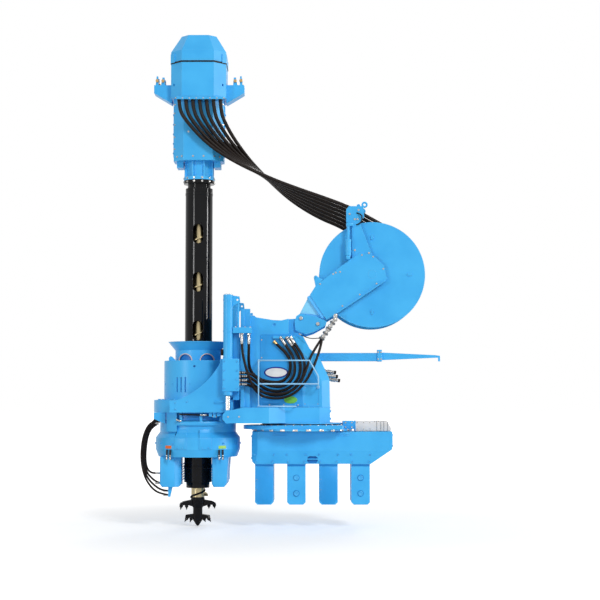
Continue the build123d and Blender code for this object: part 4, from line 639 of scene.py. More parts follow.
def fitted(master, spots, name, body, finish=fitting_steel):
    """A small part at each spot, all as one piece."""
    return joined(stand(master, spots), name, body, finish)


def both_sides(spots):
    """The same spots on the near and the far side of the rig."""
    across = [((x, -y, z), (a, -b, c), size) for (x, y, z), (a, b, c), size in spots]
    return spots + across


def circle_spots(middle, radius, count, size, way=UP, first=0):
    """Spots spaced evenly on a circle, all facing up or all facing the far side."""
    x, y, z = middle
    spots = []
    for step in range(count):
        angle = (step + first) * math.tau / count
        a, b = radius * math.cos(angle), radius * math.sin(angle)
        spots.append(((x + a, y + b, z) if way == UP else (x + a, y, z + b), way, size))
    return spots


def round_axis(x, z, radius, angle):
    """A place on a circle round an upright axis, and the way out from there."""
    out = Vector((math.cos(angle), math.sin(angle), 0))
    return Vector((x, 0, z)) + radius * out, out


# Two steel screws, each modelled once at unit radius: one has a hexagon head on a washer, the other a
# round head with a sunk socket. Painted socket screws hold the clamp legs in the saddle.
washer = turned([(0.55, 0), (1, 0), (1, 0.16), (0.93, 0.2), (0.55, 0.2)], 16)
hexagon = round_bar(6, 0.84, 0.6, (0, 0, 0.5))
pick(hexagon, UP)
bpy.ops.mesh.inset(thickness=0.1, depth=0)
bpy.ops.mesh.extrude_region_move(TRANSFORM_OT_translate={"value": (0, 0, 0.05)})
bpy.ops.object.mode_set(mode="OBJECT")
hex_screw = small_part(fused([washer, soften(hexagon, 0.03, 1)]))

socket_head = round_bar(18, 1, 0.7, (0, 0, 0.35))
pick(socket_head, UP)
bpy.ops.mesh.inset(thickness=0.08, depth=0.06)
bpy.ops.mesh.inset(thickness=0.36, depth=0)
bpy.ops.mesh.extrude_region_move(TRANSFORM_OT_translate={"value": (0, 0, -0.5)})
bpy.ops.object.mode_set(mode="OBJECT")
socket_screw = small_part(soften(socket_head, 0))

spots = []
for x in CLAMP_X:
    for across, z in ((0.133, 0.247), (0.117, 0.149)):
        for side in (-1, 1):
            y = SADDLE_LOW.y + (CREASE_Z - z) * SADDLE_SLOPE
            spots.append(((x + side * across, y, z), (0, -1, -SADDLE_SLOPE), 0.014))
fitted(socket_screw, both_sides(spots), "saddle_screws", "root", azure)

stops = []
for y, face in ((SADDLE_LOW.y, -1), (SADDLE_HIGH.y, 1)):
    for left, right in ((-0.555, -0.371), (0.350, 0.520)):
        for z in (0.530, 0.511):
            inner, outer = sorted((y - face * 0.002, y + face * 0.006))
            stops.append(soften(block((left, inner, z - 0.005), (right, outer, z + 0.005)), 0.002))
    for left, right in ((-0.62, -0.32), (0.30, 0.57)):
        inner, outer = sorted((y - face * 0.002, y + face * 0.003))
        stops.append(soften(block((left, inner, 0.548), (right, outer, 0.556)), 0.001))
joined(stops, "saddle_stops", "root")

# Each end of the saddle is closed by a painted steel plate with a sunk middle. Hexagon screws along its
# upper and lower edges hold it, and it comes off to reach the slide cylinder.
end_plates = []
spots = []
for x, way, low_z, high_z, half_y in (
    (SADDLE_LOW.x, -1, 0.170, 0.520, 0.245),
    (SADDLE_HIGH.x, 1, 0.345, 0.540, 0.320),
):
    near_x, far_x = sorted((x - way * 0.002, x + way * 0.010))
    plate = block((near_x, -half_y, low_z), (far_x, half_y, high_z))
    inset(plate, ((way, 0, 0),), (0.045, 0), (0.006, -0.005))
    end_plates.append(soften(plate, 0.003))
    for y in (-half_y + 0.022, -half_y / 3, half_y / 3, half_y - 0.022):
        for z in (low_z + 0.022, high_z - 0.022):
            spots.append(((x + way * 0.010, y, z), (way, 0, 0), 0.011))
joined(end_plates, "saddle_end_plates", "root")
fitted(hex_screw, spots, "end_plate_screws", "root")

# A round steel bar, painted with the saddle, crosses each arched pocket in its sides. A hook or a
# shackle takes hold of it when the rig is lifted.
bars = []
for y in (-0.352, 0.352):
    bar = round_bar(20, 0.009, 0.146, (0, y, 0.182), (0, math.pi / 2, 0))
    bars.append(soften(inset(bar, (LEFT, RIGHT), (0.002, 0)), 0))
joined(bars, "pocket_bars", "root")

# The clamp legs are castings. Two of them show the ends of the pins that lock their fixed pads, and all
# carry a bolted cap on the far side, over the cylinder that pushes the jaw.
LEG_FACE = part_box("clamp_legs")[1].y
pin_end = small_part(turned(
    [(0, 0.10), (0.30, 0.10), (0.36, 0.16), (0.55, 0.16), (0.60, 0.30), (0.66, 0.34), (0.92, 0.34),
     (1, 0.26), (1, 0)],
    28,
))
spots = []
for x in (CLAMP_X[1], CLAMP_X[3]):
    for z in (-0.079, -0.297):
        spots.append(((x, -LEG_FACE, z), NEAR, 0.036))
fitted(pin_end, spots, "pad_pin_ends", "root", azure)
# A thin ring in shade blue round each pin end is a painted shadow in the gap about it.
pin_shade_ring = small_part(turned([(1.0, 0), (1.0, 0.10), (1.22, 0.10), (1.22, 0)], 28))
fitted(pin_shade_ring, spots, "pad_pin_shade_rings", "root", shade_blue)

cylinder_cap = small_part(turned(
    [(0, 0.20), (0.16, 0.20), (0.20, 0.16), (0.52, 0.16), (0.56, 0.10), (0.97, 0.10), (1, 0.07), (1, 0)],
    40,
))
spots = [((x, LEG_FACE, -0.150), FAR, 0.105) for x in CLAMP_X]
fitted(cylinder_cap, spots, "jaw_cylinder_caps", "root", azure)
spots = []
for x in CLAMP_X:
    spots += circle_spots((x, LEG_FACE + 0.0105, -0.150), 0.080, 8, 0.010, FAR, 0.5)
fitted(socket_screw, spots, "jaw_cap_screws", "root")

# Grease nipples of plated steel stand at the edges of two legs, beside the slides that they feed. Each
# is turned in one piece: a foot, a neck and a rounded head.
nipple = small_part(turned(
    [(0, 1.5), (0.30, 1.46), (0.42, 1.2), (0.30, 1.0), (0.34, 0.72), (0.55, 0.66), (0.55, 0.4), (1, 0.36),
     (1, 0)],
    12,
))
spots = []
for x in (CLAMP_X[0], CLAMP_X[2]):
    for z in (-0.100, -0.245):
        spots.append(((x - 0.105, -LEG_FACE, z), NEAR, 0.009))
fitted(nipple, spots, "leg_nipples", "root")


def beads(runs, thickness):
    """Weld beads laid along straight runs between points."""
    return thickened(new_curve("weld", runs, "POLY"), thickness, 2)


runs = []
for x in CLAMP_X:
    for y in (-LEG_FACE, LEG_FACE):
        runs.append([(x - 0.130, y, 0.114), (x + 0.130, y, 0.114)])
    for side in (-1, 1):
        runs.append([(x + side * 0.130, -LEG_FACE, 0.114), (x + side * 0.130, LEG_FACE, 0.114)])
joined([beads(runs, 0.014)], "leg_welds", "root")

# The slide frame is a thick round plate. Keeper blocks are screwed round its lip, below the slewing
# ring, and plates under it hold the ribbed cover of the slide cylinder.
SLEW_X = -0.146
LIP_R = 0.700
LIP_Z = 0.588
keepers = []
spots = []
for step in range(24):
    angle = (step + 0.5) * math.tau / 24
    keeper = soften(block((-0.004, -0.034, -0.013), (0.010, 0.034, 0.013)), 0.0025)
    place, _ = round_axis(SLEW_X, LIP_Z, LIP_R, angle)
    keeper.data.transform(Matrix.Translation(place) @ Matrix.Rotation(angle, 4, "Z"))
    keepers.append(keeper)
    spots.append((*round_axis(SLEW_X, LIP_Z, LIP_R + 0.008, angle), 0.0085))
keeper_steel = bare_metal("keeper_steel", (0.80, 0.75, 0.68), 0.30, 0.08)
joined(keepers, "slide_keepers", "slide_frame", keeper_steel)
fitted(hex_screw, spots, "keeper_screws", "slide_frame")

# A circle of plated socket screws holds the slewing ring down on the slide frame. A lip of black rubber
# runs round inside it and keeps grit out.
fitted(socket_screw, circle_spots((SLEW_X, 0, 0.655), 0.600, 32, 0.012), "slew_ring_screws", "slide_frame")
slew_seal = turned(
    [(0.568, 0.676), (0.574, 0.672), (0.574, 0.664), (0.568, 0.660), (0.568, 0.676)],
    96,
    Matrix.Translation((SLEW_X, 0, 0)),
)
joined([slew_seal], "slew_seal", "slide_frame", rubber)

# The slide cylinder's ribbed cover is coated cloth. A painted steel strap clamps its end, and hexagon
# screws hold its sides to the bracket.
COVER_LOW, COVER_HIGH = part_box("slide_cover")
spots = []
for x in (COVER_LOW.x + 0.035, COVER_LOW.x + 0.125, COVER_LOW.x + 0.215):
    for z in (COVER_LOW.z + 0.025, COVER_HIGH.z - 0.025):
        spots.append(((x, COVER_LOW.y, z), NEAR, 0.008))
for x in (0.470, 0.560):
    for z in (0.625, 0.690):
        spots.append(((x, COVER_LOW.y, z), NEAR, 0.011))
fitted(hex_screw, both_sides(spots), "cover_screws", "slide_frame")
strap = block((COVER_LOW.x - 0.004, -0.153, 0.574), (COVER_LOW.x + 0.012, 0.153, 0.717))
inset(strap, (RIGHT,), (0.012, -0.004))
joined([soften(strap, 0.003)], "cover_strap", "slide_frame")

# The mast base is welded from plate. Screws along its flanks hold it to the slewing ring below, beads
# run round the foot of the mast body, and grease nipples feed the arm tips that hold the rods.
BODY_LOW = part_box("mast_body")[0]
BASE_TOP_Z = 0.905
spots = []
for step in range(9):
    spots.append(((-0.50 + 0.075 * step, -0.490 + 0.003 * step, BASE_TOP_Z), UP, 0.015))
for y in (-0.30, -0.10, 0.10, 0.30):
    spots.append(((0.248, y, 0.850), RIGHT, 0.018))
    spots.append(((0.248, y, 0.745), RIGHT, 0.018))
base_spots = []
for (x, y, z), way, size in spots:
    base_spots.append(((x, y, z), way, size))
    if way[0] == 0:
        base_spots.append(((x, -y, z), way, size))
fitted(hex_screw, base_spots, "mast_base_screws", "mast", azure)
spots = []
for x, z in ((-1.010, 0.778), (-1.162, 0.778)):
    spots.append(((x, -0.770, z), NEAR, 0.012))
fitted(nipple, both_sides(spots), "arm_nipples", "mast")
runs = []
for y in (-0.450, 0.450):
    runs.append([(BODY_LOW.x, y, BASE_TOP_Z), (0.140, y, BASE_TOP_Z)])
runs.append([(0.248, -0.340, BASE_TOP_Z), (0.248, 0.340, BASE_TOP_Z)])
for y in (-1, 1):
    runs.append([(-0.914, y * 0.560, BASE_TOP_Z), (-1.000, y * 0.560, BASE_TOP_Z)])
joined([beads(runs, 0.016)], "mast_foot_welds", "mast")

# A door of thin sheet covers the valves on the near side. It is pressed with a raised rim, hangs on two
# pin hinges and shuts with quarter-turn locks. Its darker azure is painted shade, as though the door
# were set back in shadow.
NEAR_FACE = BODY_LOW.y
azure_painted_shade = enamel("azure_painted_shade_enamel", (0.028, 0.36, 0.82), (0.018, 0.31, 0.74), (0.12, 0.50, 0.90))
door_outline = (
    (-0.732, 0.925), (-0.732, 1.905), (-0.705, 1.932), (-0.300, 1.932), (-0.225, 1.800), (-0.120, 1.620),
    (-0.020, 1.470), (0.050, 1.350), (0.085, 1.250), (0.085, 1.220), (-0.135, 1.220), (-0.135, 0.925),
)


def sheet_panel(corners, y, way, thickness):
    """A flat panel on a side face: its outline as X and Z, standing out from the face at y."""
    ring = corners if way < 0 else corners[::-1]
    panel = from_points([(x, y, z) for x, z in ring], [], [range(len(ring))])
    bpy.ops.mesh.extrude_region_move(TRANSFORM_OT_translate={"value": (0, way * thickness, 0)})
    close_up()
    return panel


door = sheet_panel(door_outline, NEAR_FACE, -1, 0.007)
inset(door, (NEAR,), (0.014, 0), (0.005, -0.004))
joined([soften(door, 0.0015)], "valve_door", "mast", azure_painted_shade)
spots = []
for x, z in (
    (-0.712, 1.05), (-0.712, 1.30), (-0.712, 1.60), (-0.712, 1.85), (-0.60, 0.940), (-0.40, 0.940),
    (-0.20, 0.940), (-0.060, 1.234), (0.030, 1.234),
):
    spots.append(((x, NEAR_FACE - 0.006, z), NEAR, 0.010))
fitted(socket_screw, spots, "valve_door_locks", "mast")

# On the far side two louvred doors of painted sheet give air to the oil cooler. Each louvre is pressed
# out and slopes down. Hinges and pulls of black steel are screwed on.
louvre_doors = []
for left, right in ((-0.860, -0.340), (-0.310, 0.060)):
    top = 1.860 if left < -0.5 else 1.520
    corners = ((left, 0.960), (left, top), (right, top), (right, 0.960))
    leaf = sheet_panel(corners, -NEAR_FACE, 1, 0.007)
    inset(leaf, (FAR,), (0.016, 0), (0.005, -0.004))
    louvre_doors.append(soften(leaf, 0.0015))
    rows = 9 if left < -0.5 else 5
    for row in range(rows):
        z = 1.080 + row * 0.062
        slat = block((left + 0.070, -NEAR_FACE + 0.001, z), (right - 0.070, -NEAR_FACE + 0.018, z + 0.034))
        pick(slat, FAR)
        bpy.ops.transform.resize(value=(0.94, 1, 0.2))
        bpy.ops.transform.translate(value=(0, 0, -0.013))
        bpy.ops.object.mode_set(mode="OBJECT")
        louvre_doors.append(soften(slat, 0.002))
joined(louvre_doors, "louvred_doors", "mast")
handles = []
for x, z, hinge_x in ((-0.380, 1.40, -0.860), (0.022, 1.24, -0.310)):
    for low_z, high_z in ((z - 0.052, z - 0.040), (z + 0.040, z + 0.052)):
        handles.append(soften(block((x - 0.006, 0.455, low_z), (x + 0.006, 0.490, high_z)), 0.002))
    handles.append(soften(block((x - 0.006, 0.482, z - 0.052), (x + 0.006, 0.494, z + 0.052)), 0.004))
    for hinge_z in (1.05, 1.45):
        handles.append(soften(round_bar(16, 0.009, 0.085, (hinge_x, 0.462, hinge_z)), 0.002))
joined(handles, "door_handles", "mast", black_enamel)

# Plates and caps on the near side. The plates are blank: an oval one of white enamel with a blue rim,
# a small green oval, and the bare recess with its four screws.
def oval(centre, wide, high, thickness, name, finish):
    """An oval plate on the near face, with a fine edge."""
    bpy.ops.mesh.primitive_cylinder_add(
        vertices=64, radius=0.5, depth=1, location=centre, rotation=(math.pi / 2, 0, 0)
    )
    plate = bpy.context.object
    plate.scale = (wide, high, thickness)
    bpy.ops.object.transform_apply()
    inset(plate, (NEAR,), (0.004, 0.001))
    return joined([soften(plate, 0.0006, 1)], name, "mast", finish)


white_enamel = enamel(
    "white_enamel", (0.86, 0.87, 0.88), (0.80, 0.81, 0.82), (0.93, 0.93, 0.93), 0.3, 0.001,
)
navy_enamel = enamel(
    "navy_enamel", (0.006, 0.022, 0.28), (0.005, 0.018, 0.24), (0.010, 0.04, 0.34), 0.3, 0.001,
)
green_enamel = enamel(
    "green_enamel", (0.16, 0.52, 0.07), (0.13, 0.46, 0.05), (0.35, 0.66, 0.2), 0.35
)
oval((-0.508, NEAR_FACE - 0.004, 1.393), 0.338, 0.161, 0.009, "oval_plate_rim", navy_enamel)
oval((-0.508, NEAR_FACE - 0.008, 1.393), 0.300, 0.124, 0.008, "oval_plate", white_enamel)
oval((-0.305, NEAR_FACE - 0.006, 1.010), 0.186, 0.100, 0.006, "small_oval_plate", green_enamel)
spots = []
for x in (-0.104, 0.076):
    for z in (0.954, 1.188):
        spots.append(((x, NEAR_FACE + 0.008, z), NEAR, 0.006))
fitted(socket_screw, spots, "recess_screws", "mast")
orange_cap = enamel("orange_cap", (0.85, 0.17, 0.03), (0.75, 0.13, 0.02), (0.9, 0.4, 0.2), 0.4)
cap = turned(
    [(0, 0.030), (0.009, 0.030), (0.012, 0.026), (0.012, 0.012), (0.016, 0.011), (0.016, 0)],
    20,
    facing((-0.522, NEAR_FACE, 1.821), NEAR),
)
joined([cap], "test_port_cap", "mast", orange_cap)

# A hydraulic hose ends in a plated ferrule: a hexagon nut, a neck, and a sleeve crimped in rings. One
# of the loops has a plain brass union at the mast instead.
sleeve = turned(
    [(0, 0), (0.80, 0), (0.80, 0.10), (0.62, 0.14), (0.62, 1.25), (0.80, 1.30), (1.06, 1.34),
     (1.12, 1.55), (1.06, 1.75), (1.12, 1.95), (1.06, 2.15), (1.12, 2.35), (1.06, 2.55), (1.12, 2.75),
     (1.12, 5.6), (1.02, 5.8), (0.9, 5.8)],
    20,
)
ferrule = small_part(fused([sleeve, soften(round_bar(6, 1.28, 0.95, (0, 0, 0.62)), 0.07, 1)]))
long_ferrule = bpy.data.objects.new("long_ferrule", ferrule.data.copy())
long_ferrule.data.transform(Matrix.Diagonal((1, 1, 1.3, 1)))
spots = [
    ((loop_routes[0][0][0], loop_routes[0][0][1], 1.932), DOWN, 0.0200),
    ((feed_routes[0][-1][0], feed_routes[0][-1][1], 1.932), DOWN, 0.0200),
]
fitted(long_ferrule, spots, "loop_ferrules_above", "chuck_frame")
spots = []
for route in loop_routes[1:]:
    top, below = Vector(route[-1]), Vector(route[-2])
    spots.append((top, below - top, 0.0205))
fitted(long_ferrule, spots, "loop_ferrules_mast", "mast")
top, below = Vector(loop_routes[0][-1]), Vector(loop_routes[0][-2])
brass_nut = small_part(turned(
    [(0, 0), (0.9, 0), (1.2, 0.2), (1.2, 1.2), (1.05, 1.4), (1.05, 2.6), (0.9, 2.8)], 20
))
fitted(brass_nut, [(top, below - top, 0.0210)], "brass_union", "mast", bronze)

# The loops' unions sit on a low strip of painted steel with rounded edges, near the top of the mast
# body's near side.
strip = block((-0.555, -0.488, 1.868), (-0.245, -0.450, 1.908))
pick(strip, NEAR)
bpy.ops.mesh.inset(thickness=0.004, depth=0)
bpy.ops.transform.translate(value=(0, 0.002, 0))
bpy.ops.object.mode_set(mode="OBJECT")
manifold = joined([soften(strip, 0.004)], "manifold_strip", "mast")
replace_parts(manifold, "loop_manifold")

# Plated swivels, end to end, join each supply hose to an eye on the reel's arm, with collars of dark
# steel between them. Two small unions end the pilot hose.
swivel = small_part(turned(
    [(0, 4.6), (0.66, 4.6), (0.70, 4.1), (0.92, 4.0), (1, 3.7), (0.92, 3.4), (0.62, 3.3), (0.62, 2.7),
     (0.96, 2.6), (0.96, 1.6), (0.62, 1.5), (0.62, 0.9), (1, 0.8), (1.04, 0.4), (0.9, 0), (0, 0)],
    20,
))
spots = []
for y in (-0.470, -0.425):
    for share in (0, 0.52):
        place = FEED_TOP + share * (FEED_FOOT - FEED_TOP) + Vector((0, y, 0))
        spots.append((place, FEED_FOOT - FEED_TOP, 0.0360))
feed_eye = block((0.300, -0.500, 2.140), (0.350, -0.396, 2.215))
swivels = stand(swivel, spots) + [soften(feed_eye, 0.008)]
feed_swivels = joined(swivels, "feed_swivels", "mast", fitting_steel)
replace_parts(feed_swivels, "feed_fittings")
spots = []
for y in (-0.470, -0.425):
    for share in (0.19, 0.47, 0.72, 0.97):
        place = FEED_TOP + share * (FEED_FOOT - FEED_TOP) + Vector((0, y, 0))
        spots.append((place, FEED_FOOT - FEED_TOP, 0.040))
collar = small_part(turned([(0.5, 0), (0.95, 0), (1.05, 0.12), (1.05, 0.5), (0.95, 0.62), (0.5, 0.62)], 24))
fitted(collar, spots, "swivel_collars", "mast", dark_steel)
union_spots = [(pilot_route[0], (1, 0, -0.5), 0.0085), (pilot_route[-1], (-1, 0, -0.35), 0.0075)]
fitted(ferrule, union_spots, "pilot_unions", "mast")

# A guard of thin bent tube, in pale enamel, stands in front of the loops. Its four feet end in small
# round flanges that are welded to the body.
GUARD_Y = -0.660
GUARD_LEFT, GUARD_RIGHT = -0.748, 0.082
GUARD_TOP, GUARD_MIDDLE, GUARD_FOOT = 1.557, 1.232, 0.922
guard_runs = (
    ((GUARD_LEFT, NEAR_FACE, GUARD_TOP), (GUARD_LEFT, GUARD_Y, GUARD_TOP), (-0.043, GUARD_Y, GUARD_TOP),
     (0.070, GUARD_Y, 1.360), (GUARD_RIGHT, GUARD_Y, 1.330), (GUARD_RIGHT, GUARD_Y, 1.190),
     (GUARD_RIGHT, NEAR_FACE, 1.190)),
    ((GUARD_LEFT, GUARD_Y, GUARD_TOP), (GUARD_LEFT, GUARD_Y, GUARD_FOOT), (-0.240, GUARD_Y, GUARD_FOOT),
     (-0.240, NEAR_FACE, GUARD_FOOT)),
    ((GUARD_LEFT, GUARD_Y, GUARD_MIDDLE), (GUARD_RIGHT, GUARD_Y, GUARD_MIDDLE)),
    ((GUARD_LEFT, GUARD_Y, GUARD_FOOT), (GUARD_LEFT, NEAR_FACE, GUARD_FOOT)),
)
guard = joined([beads(guard_runs, 0.022)], "guard_tubes", "mast", pale_enamel)
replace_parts(guard, "guard_rail")
flange = small_part(turned([(0.5, 0.26), (0.94, 0.26), (1, 0.2), (1, 0)], 28))
spots = []
for x, z in ((GUARD_LEFT, GUARD_TOP), (GUARD_RIGHT, 1.190), (GUARD_LEFT, GUARD_FOOT), (-0.240, GUARD_FOOT)):
    spots.append(((x, NEAR_FACE, z), NEAR, 0.022))
fitted(flange, spots, "guard_flanges", "mast", pale_enamel)

# A narrow steel lid runs across the body's top and is raised along its middle. A row of six hexagon
# screws holds it down.
lid = block((-0.880, -0.300, 2.188), (-0.835, 0.300, 2.198))
inset(lid, (UP,), (0.012, 0.002))
joined([soften(lid, 0.002)], "body_lid", "mast")
spots = [((-0.857, -0.26 + 0.104 * step, 2.199), UP, 0.010) for step in range(6)]
fitted(hex_screw, spots, "body_lid_screws", "mast")

# Six quick couplings of plated steel stick out of the body's rear slope. Each has a rubber dust cap on
# while nothing is plugged in.
coupling = small_part(turned(
    [(0, 5.6), (0.62, 5.6), (0.80, 5.4), (0.80, 4.4), (0.68, 4.3), (0.68, 4.0), (1, 3.9), (1, 3.3),
     (0.86, 3.2), (0.86, 2.9), (1, 2.8), (1, 1.9), (0.75, 1.7), (0.75, 0.9), (1.2, 0.8), (1.2, 0)],
    24,
))
spots = []
for z, y, x in (
    (1.420, -0.120, 0.165), (1.360, -0.200, 0.190), (1.305, -0.120, 0.222), (1.420, 0.120, 0.165),
    (1.360, 0.200, 0.190), (1.305, 0.120, 0.222),
):
    spots.append(((x, y, z), (1, 0, -0.12), 0.027))
fitted(coupling, spots, "supply_couplings", "mast")
dust_cap = small_part(turned([(0, 1.3), (0.8, 1.3), (1, 1.15), (1, 0)], 24))
spots = [((x + 0.1435, y, z - 0.0172), (1, 0, -0.12), 0.024) for (x, y, z), _, _ in spots]
fitted(dust_cap, spots, "coupling_caps", "mast", rubber)

# Turned steel pins hold the foot of the reel's arm on both sides. Stepped caps of plated steel keep
# their ends.
pin_cap = small_part(turned(
    [(0, 0.55), (0.28, 0.55), (0.34, 0.42), (0.50, 0.40), (0.86, 0.40), (1, 0.28), (1, 0)], 28
))
spots = []
for x, z in ((-0.160, 2.158), (0.077, 2.078)):
    spots.append(((x, -0.384, z), NEAR, 0.026))
fitted(pin_cap, both_sides(spots), "arm_pin_caps", "mast")

# The reel arm's near plate is flat and bolted along its lower lip. A cap covers the reel's axle, and a
# hinge on its upper edge takes the folding stay.
ARM_FACE = -0.400
spots = []
for x, z in (
    (0.424, 2.330), (0.669, 2.490), (0.905, 2.645), (1.000, 2.854), (0.859, 3.025), (0.700, 3.050),
    (0.294, 2.780), (0.330, 2.800), (0.392, 2.812), (0.110, 2.640),
):
    spots.append(((x, ARM_FACE, z), NEAR, 0.012))
fitted(hex_screw, both_sides(spots), "arm_screws", "mast")
axle_cap = small_part(turned(
    [(0, 0.46), (0.35, 0.46), (0.42, 0.40), (0.70, 0.40), (0.76, 0.24), (0.96, 0.24), (1, 0.20), (1, 0)],
    48,
))
fitted(axle_cap, [((REEL.x, -ARM_FACE, REEL.z), FAR, 0.105)], "axle_cap", "mast", azure)
spots = circle_spots((REEL.x, 0.425, REEL.z), 0.090, 8, 0.009, FAR, 0.5)
fitted(hex_screw, spots, "axle_cap_screws", "mast", azure)
axle = turned(
    [(0, -0.402), (0.058, -0.402), (0.060, -0.400), (0.060, 0.420), (0, 0.420)],
    48,
    facing((REEL.x, 0, REEL.z), FAR),
)
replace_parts(joined([axle], "flush_axle", "mast"), "reel_axle")
stay_hinge = []
ear_outline = (
    (0.045, 2.612), (0.020, 2.735), (0.035, 2.760), (0.062, 2.760), (0.082, 2.742), (0.150, 2.700),
)
for y in (-0.384, -0.334):
    stay_hinge.append(soften(sheet_panel(ear_outline, y, -1, 0.012), 0.002))
stay_hinge.append(soften(round_bar(20, 0.011, 0.080, (0.048, -0.371, 2.738), (math.pi / 2, 0, 0)), 0.002))
joined(stay_hinge, "stay_hinge", "mast")

# The foot's side plates are bent outwards where they meet the arm, so they catch the light. The bent
# stretches are painted in a paler azure: a painted highlight.
azure_painted_highlight = enamel("azure_painted_highlight_enamel", (0.26, 0.69, 0.96), (0.20, 0.64, 0.94), (0.36, 0.76, 0.98))
folds = []
for y, way in ((-0.330, -1), (0.330, 1)):
    fold = sheet_panel(((-0.046, 2.478), (0.160, 2.200), (-0.168, 2.226), (-0.150, 2.275)), y, way, 0.008)
    folds.append(soften(fold, 0.002))
joined(folds, "foot_fold_highlights", "mast", azure_painted_highlight)

# Each of the reel's flanges is a painted steel disc with a rolled rim. On the far side a turned hub
# ring lies on it, and a circle of screws holds it to the core.
rims = []
for y in (-0.323, 0.323):
    bpy.ops.mesh.primitive_torus_add(
        major_segments=128,
        minor_segments=10,
        location=(REEL.x, y, REEL.z),
        rotation=(math.pi / 2, 0, 0),
        major_radius=0.7395,
        minor_radius=0.0085,
    )
    rim = bpy.context.object
    bpy.ops.object.transform_apply()
    rims.append(soften(rim, 0))
joined(rims, "reel_rims", "reel")
hub_ring = turned(
    [(0.305, 0), (0.305, 0.004), (0.299, 0.007), (0.190, 0.007), (0.184, 0.004), (0.184, 0)],
    72,
    facing((REEL.x, 0.330, REEL.z), FAR),
)
joined([hub_ring], "reel_hub_rings", "reel")
spots = circle_spots((REEL.x, 0.337, REEL.z), 0.246, 12, 0.016, FAR)
fitted(hex_screw, spots, "reel_hub_screws", "reel", azure)

# The hose guide's head is two steel plates and a cross tube on the posts. Hexagon screws hold it on
# both sides, so that it can be taken off.
spots = []
for x, z in (
    (0.528, 3.634), (0.655, 3.690), (0.600, 3.560), (0.640, 3.560), (0.600, 3.120), (0.800, 3.080),
):
    spots.append(((x, -0.385, z), NEAR, 0.015))
fitted(hex_screw, both_sides(spots), "guide_screws", "mast")

# A small hydraulic cylinder on the near post tips the guide's head. A clevis holds its barrel at the
# foot, its rod ends in a lug, and a thin hose makes a loop beside the head.
GUIDE_X, GUIDE_Y = 0.505, -0.440
tipper = turned(
    [(0, 3.036), (0.036, 3.036), (0.043, 3.044), (0.043, 3.086), (0.047, 3.090), (0.047, 3.112),
     (0.043, 3.116), (0.043, 3.236), (0.047, 3.240), (0.047, 3.262), (0.040, 3.270), (0.022, 3.270),
     (0.022, 3.480), (0, 3.480)],
    32,
    Matrix.Translation((GUIDE_X, GUIDE_Y, 0)),
)
clevis = soften(block((GUIDE_X - 0.030, -0.470, 2.985), (GUIDE_X + 0.030, -0.384, 3.040)), 0.008)
head_lug = soften(block((GUIDE_X - 0.028, -0.466, 3.455), (GUIDE_X + 0.075, -0.384, 3.500)), 0.008)
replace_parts(joined([tipper, clevis, head_lug], "guide_tipper", "mast"), "guide_cylinder")
tip_route = (
    (0.628, -0.386, 3.650), (0.690, -0.420, 3.628), (0.706, -0.426, 3.565), (0.690, -0.420, 3.502),
    (0.628, -0.386, 3.480),
)
TIP_HOSE = 0.018
tip_hose = free_hose("guide_hose", tip_route, TIP_HOSE)
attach(tip_hose, "mast")

# The hanger boom is a box beam of welded plate that slides in its block. Hexagon screws hold the
# block's sides, and weld beads run along the beam's corners.
spots = []
for x in (0.940, 0.980):
    for z in (1.590, 1.690):
        spots.append(((x, -0.083, z), NEAR, 0.012))
fitted(hex_screw, both_sides(spots), "boom_screws", "mast")
runs = []
for y in (-0.055, 0.055):
    for z in (1.566, 1.676):
        runs.append([(0.130, y, z), (0.927, y, z)])
joined([beads(runs, 0.007)], "boom_welds", "mast")

# The chuck frame's deck is thick plate, held down by painted hexagon screws round its edge. Weld beads
# join it to the side plates, which have screws of their own and a grab handle on each side.
AXIS_X = -1.629
DECK_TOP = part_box("chuck_deck")[1].z
spots = []
for place, way, size in circle_spots((AXIS_X, 0, DECK_TOP), 0.560, 28, 0.017, first=0.5):
    if place[0] < -1.180:
        spots.append((place, way, size))
fitted(hex_screw, spots, "deck_screws", "chuck_frame", azure)
spots = []
for x, z in (
    (-1.742, 0.985), (-1.900, 0.880), (-1.900, 0.965), (-1.250, 0.880), (-1.060, 1.200), (-1.060, 1.520),
):
    spots.append(((x, -0.652, z), NEAR, 0.014))
fitted(hex_screw, both_sides(spots), "side_plate_screws", "chuck_frame", azure)
runs = []
for y in (-0.612, 0.612):
    runs.append([(-1.900, y, 1.010), (-1.120, y, 1.010)])
for y in (-0.652, 0.652):
    runs.append([(-1.236, y, 1.129), (-1.236, y, 1.578)])
joined([beads(runs, 0.012)], "side_plate_welds", "chuck_frame")


def grip(left, right, y, z, way):
    """A bent grab handle between two points on a side face."""
    middle, top = y + 0.7 * 0.045 * way, y + 0.045 * way
    run = (
        (left, y, z), (left, middle, z), (left + 0.014, top, z), (right - 0.014, top, z),
        (right, middle, z), (right, y, z),
    )
    return soften(thickened(new_curve("grip", [run], "POLY"), 0.016, 3), 0, angle=40)


grips = [grip(-1.345, -1.235, -0.652, 0.985, -1), grip(-1.345, -1.235, 0.652, 0.985, 1)]
joined(grips, "deck_grips", "chuck_frame")

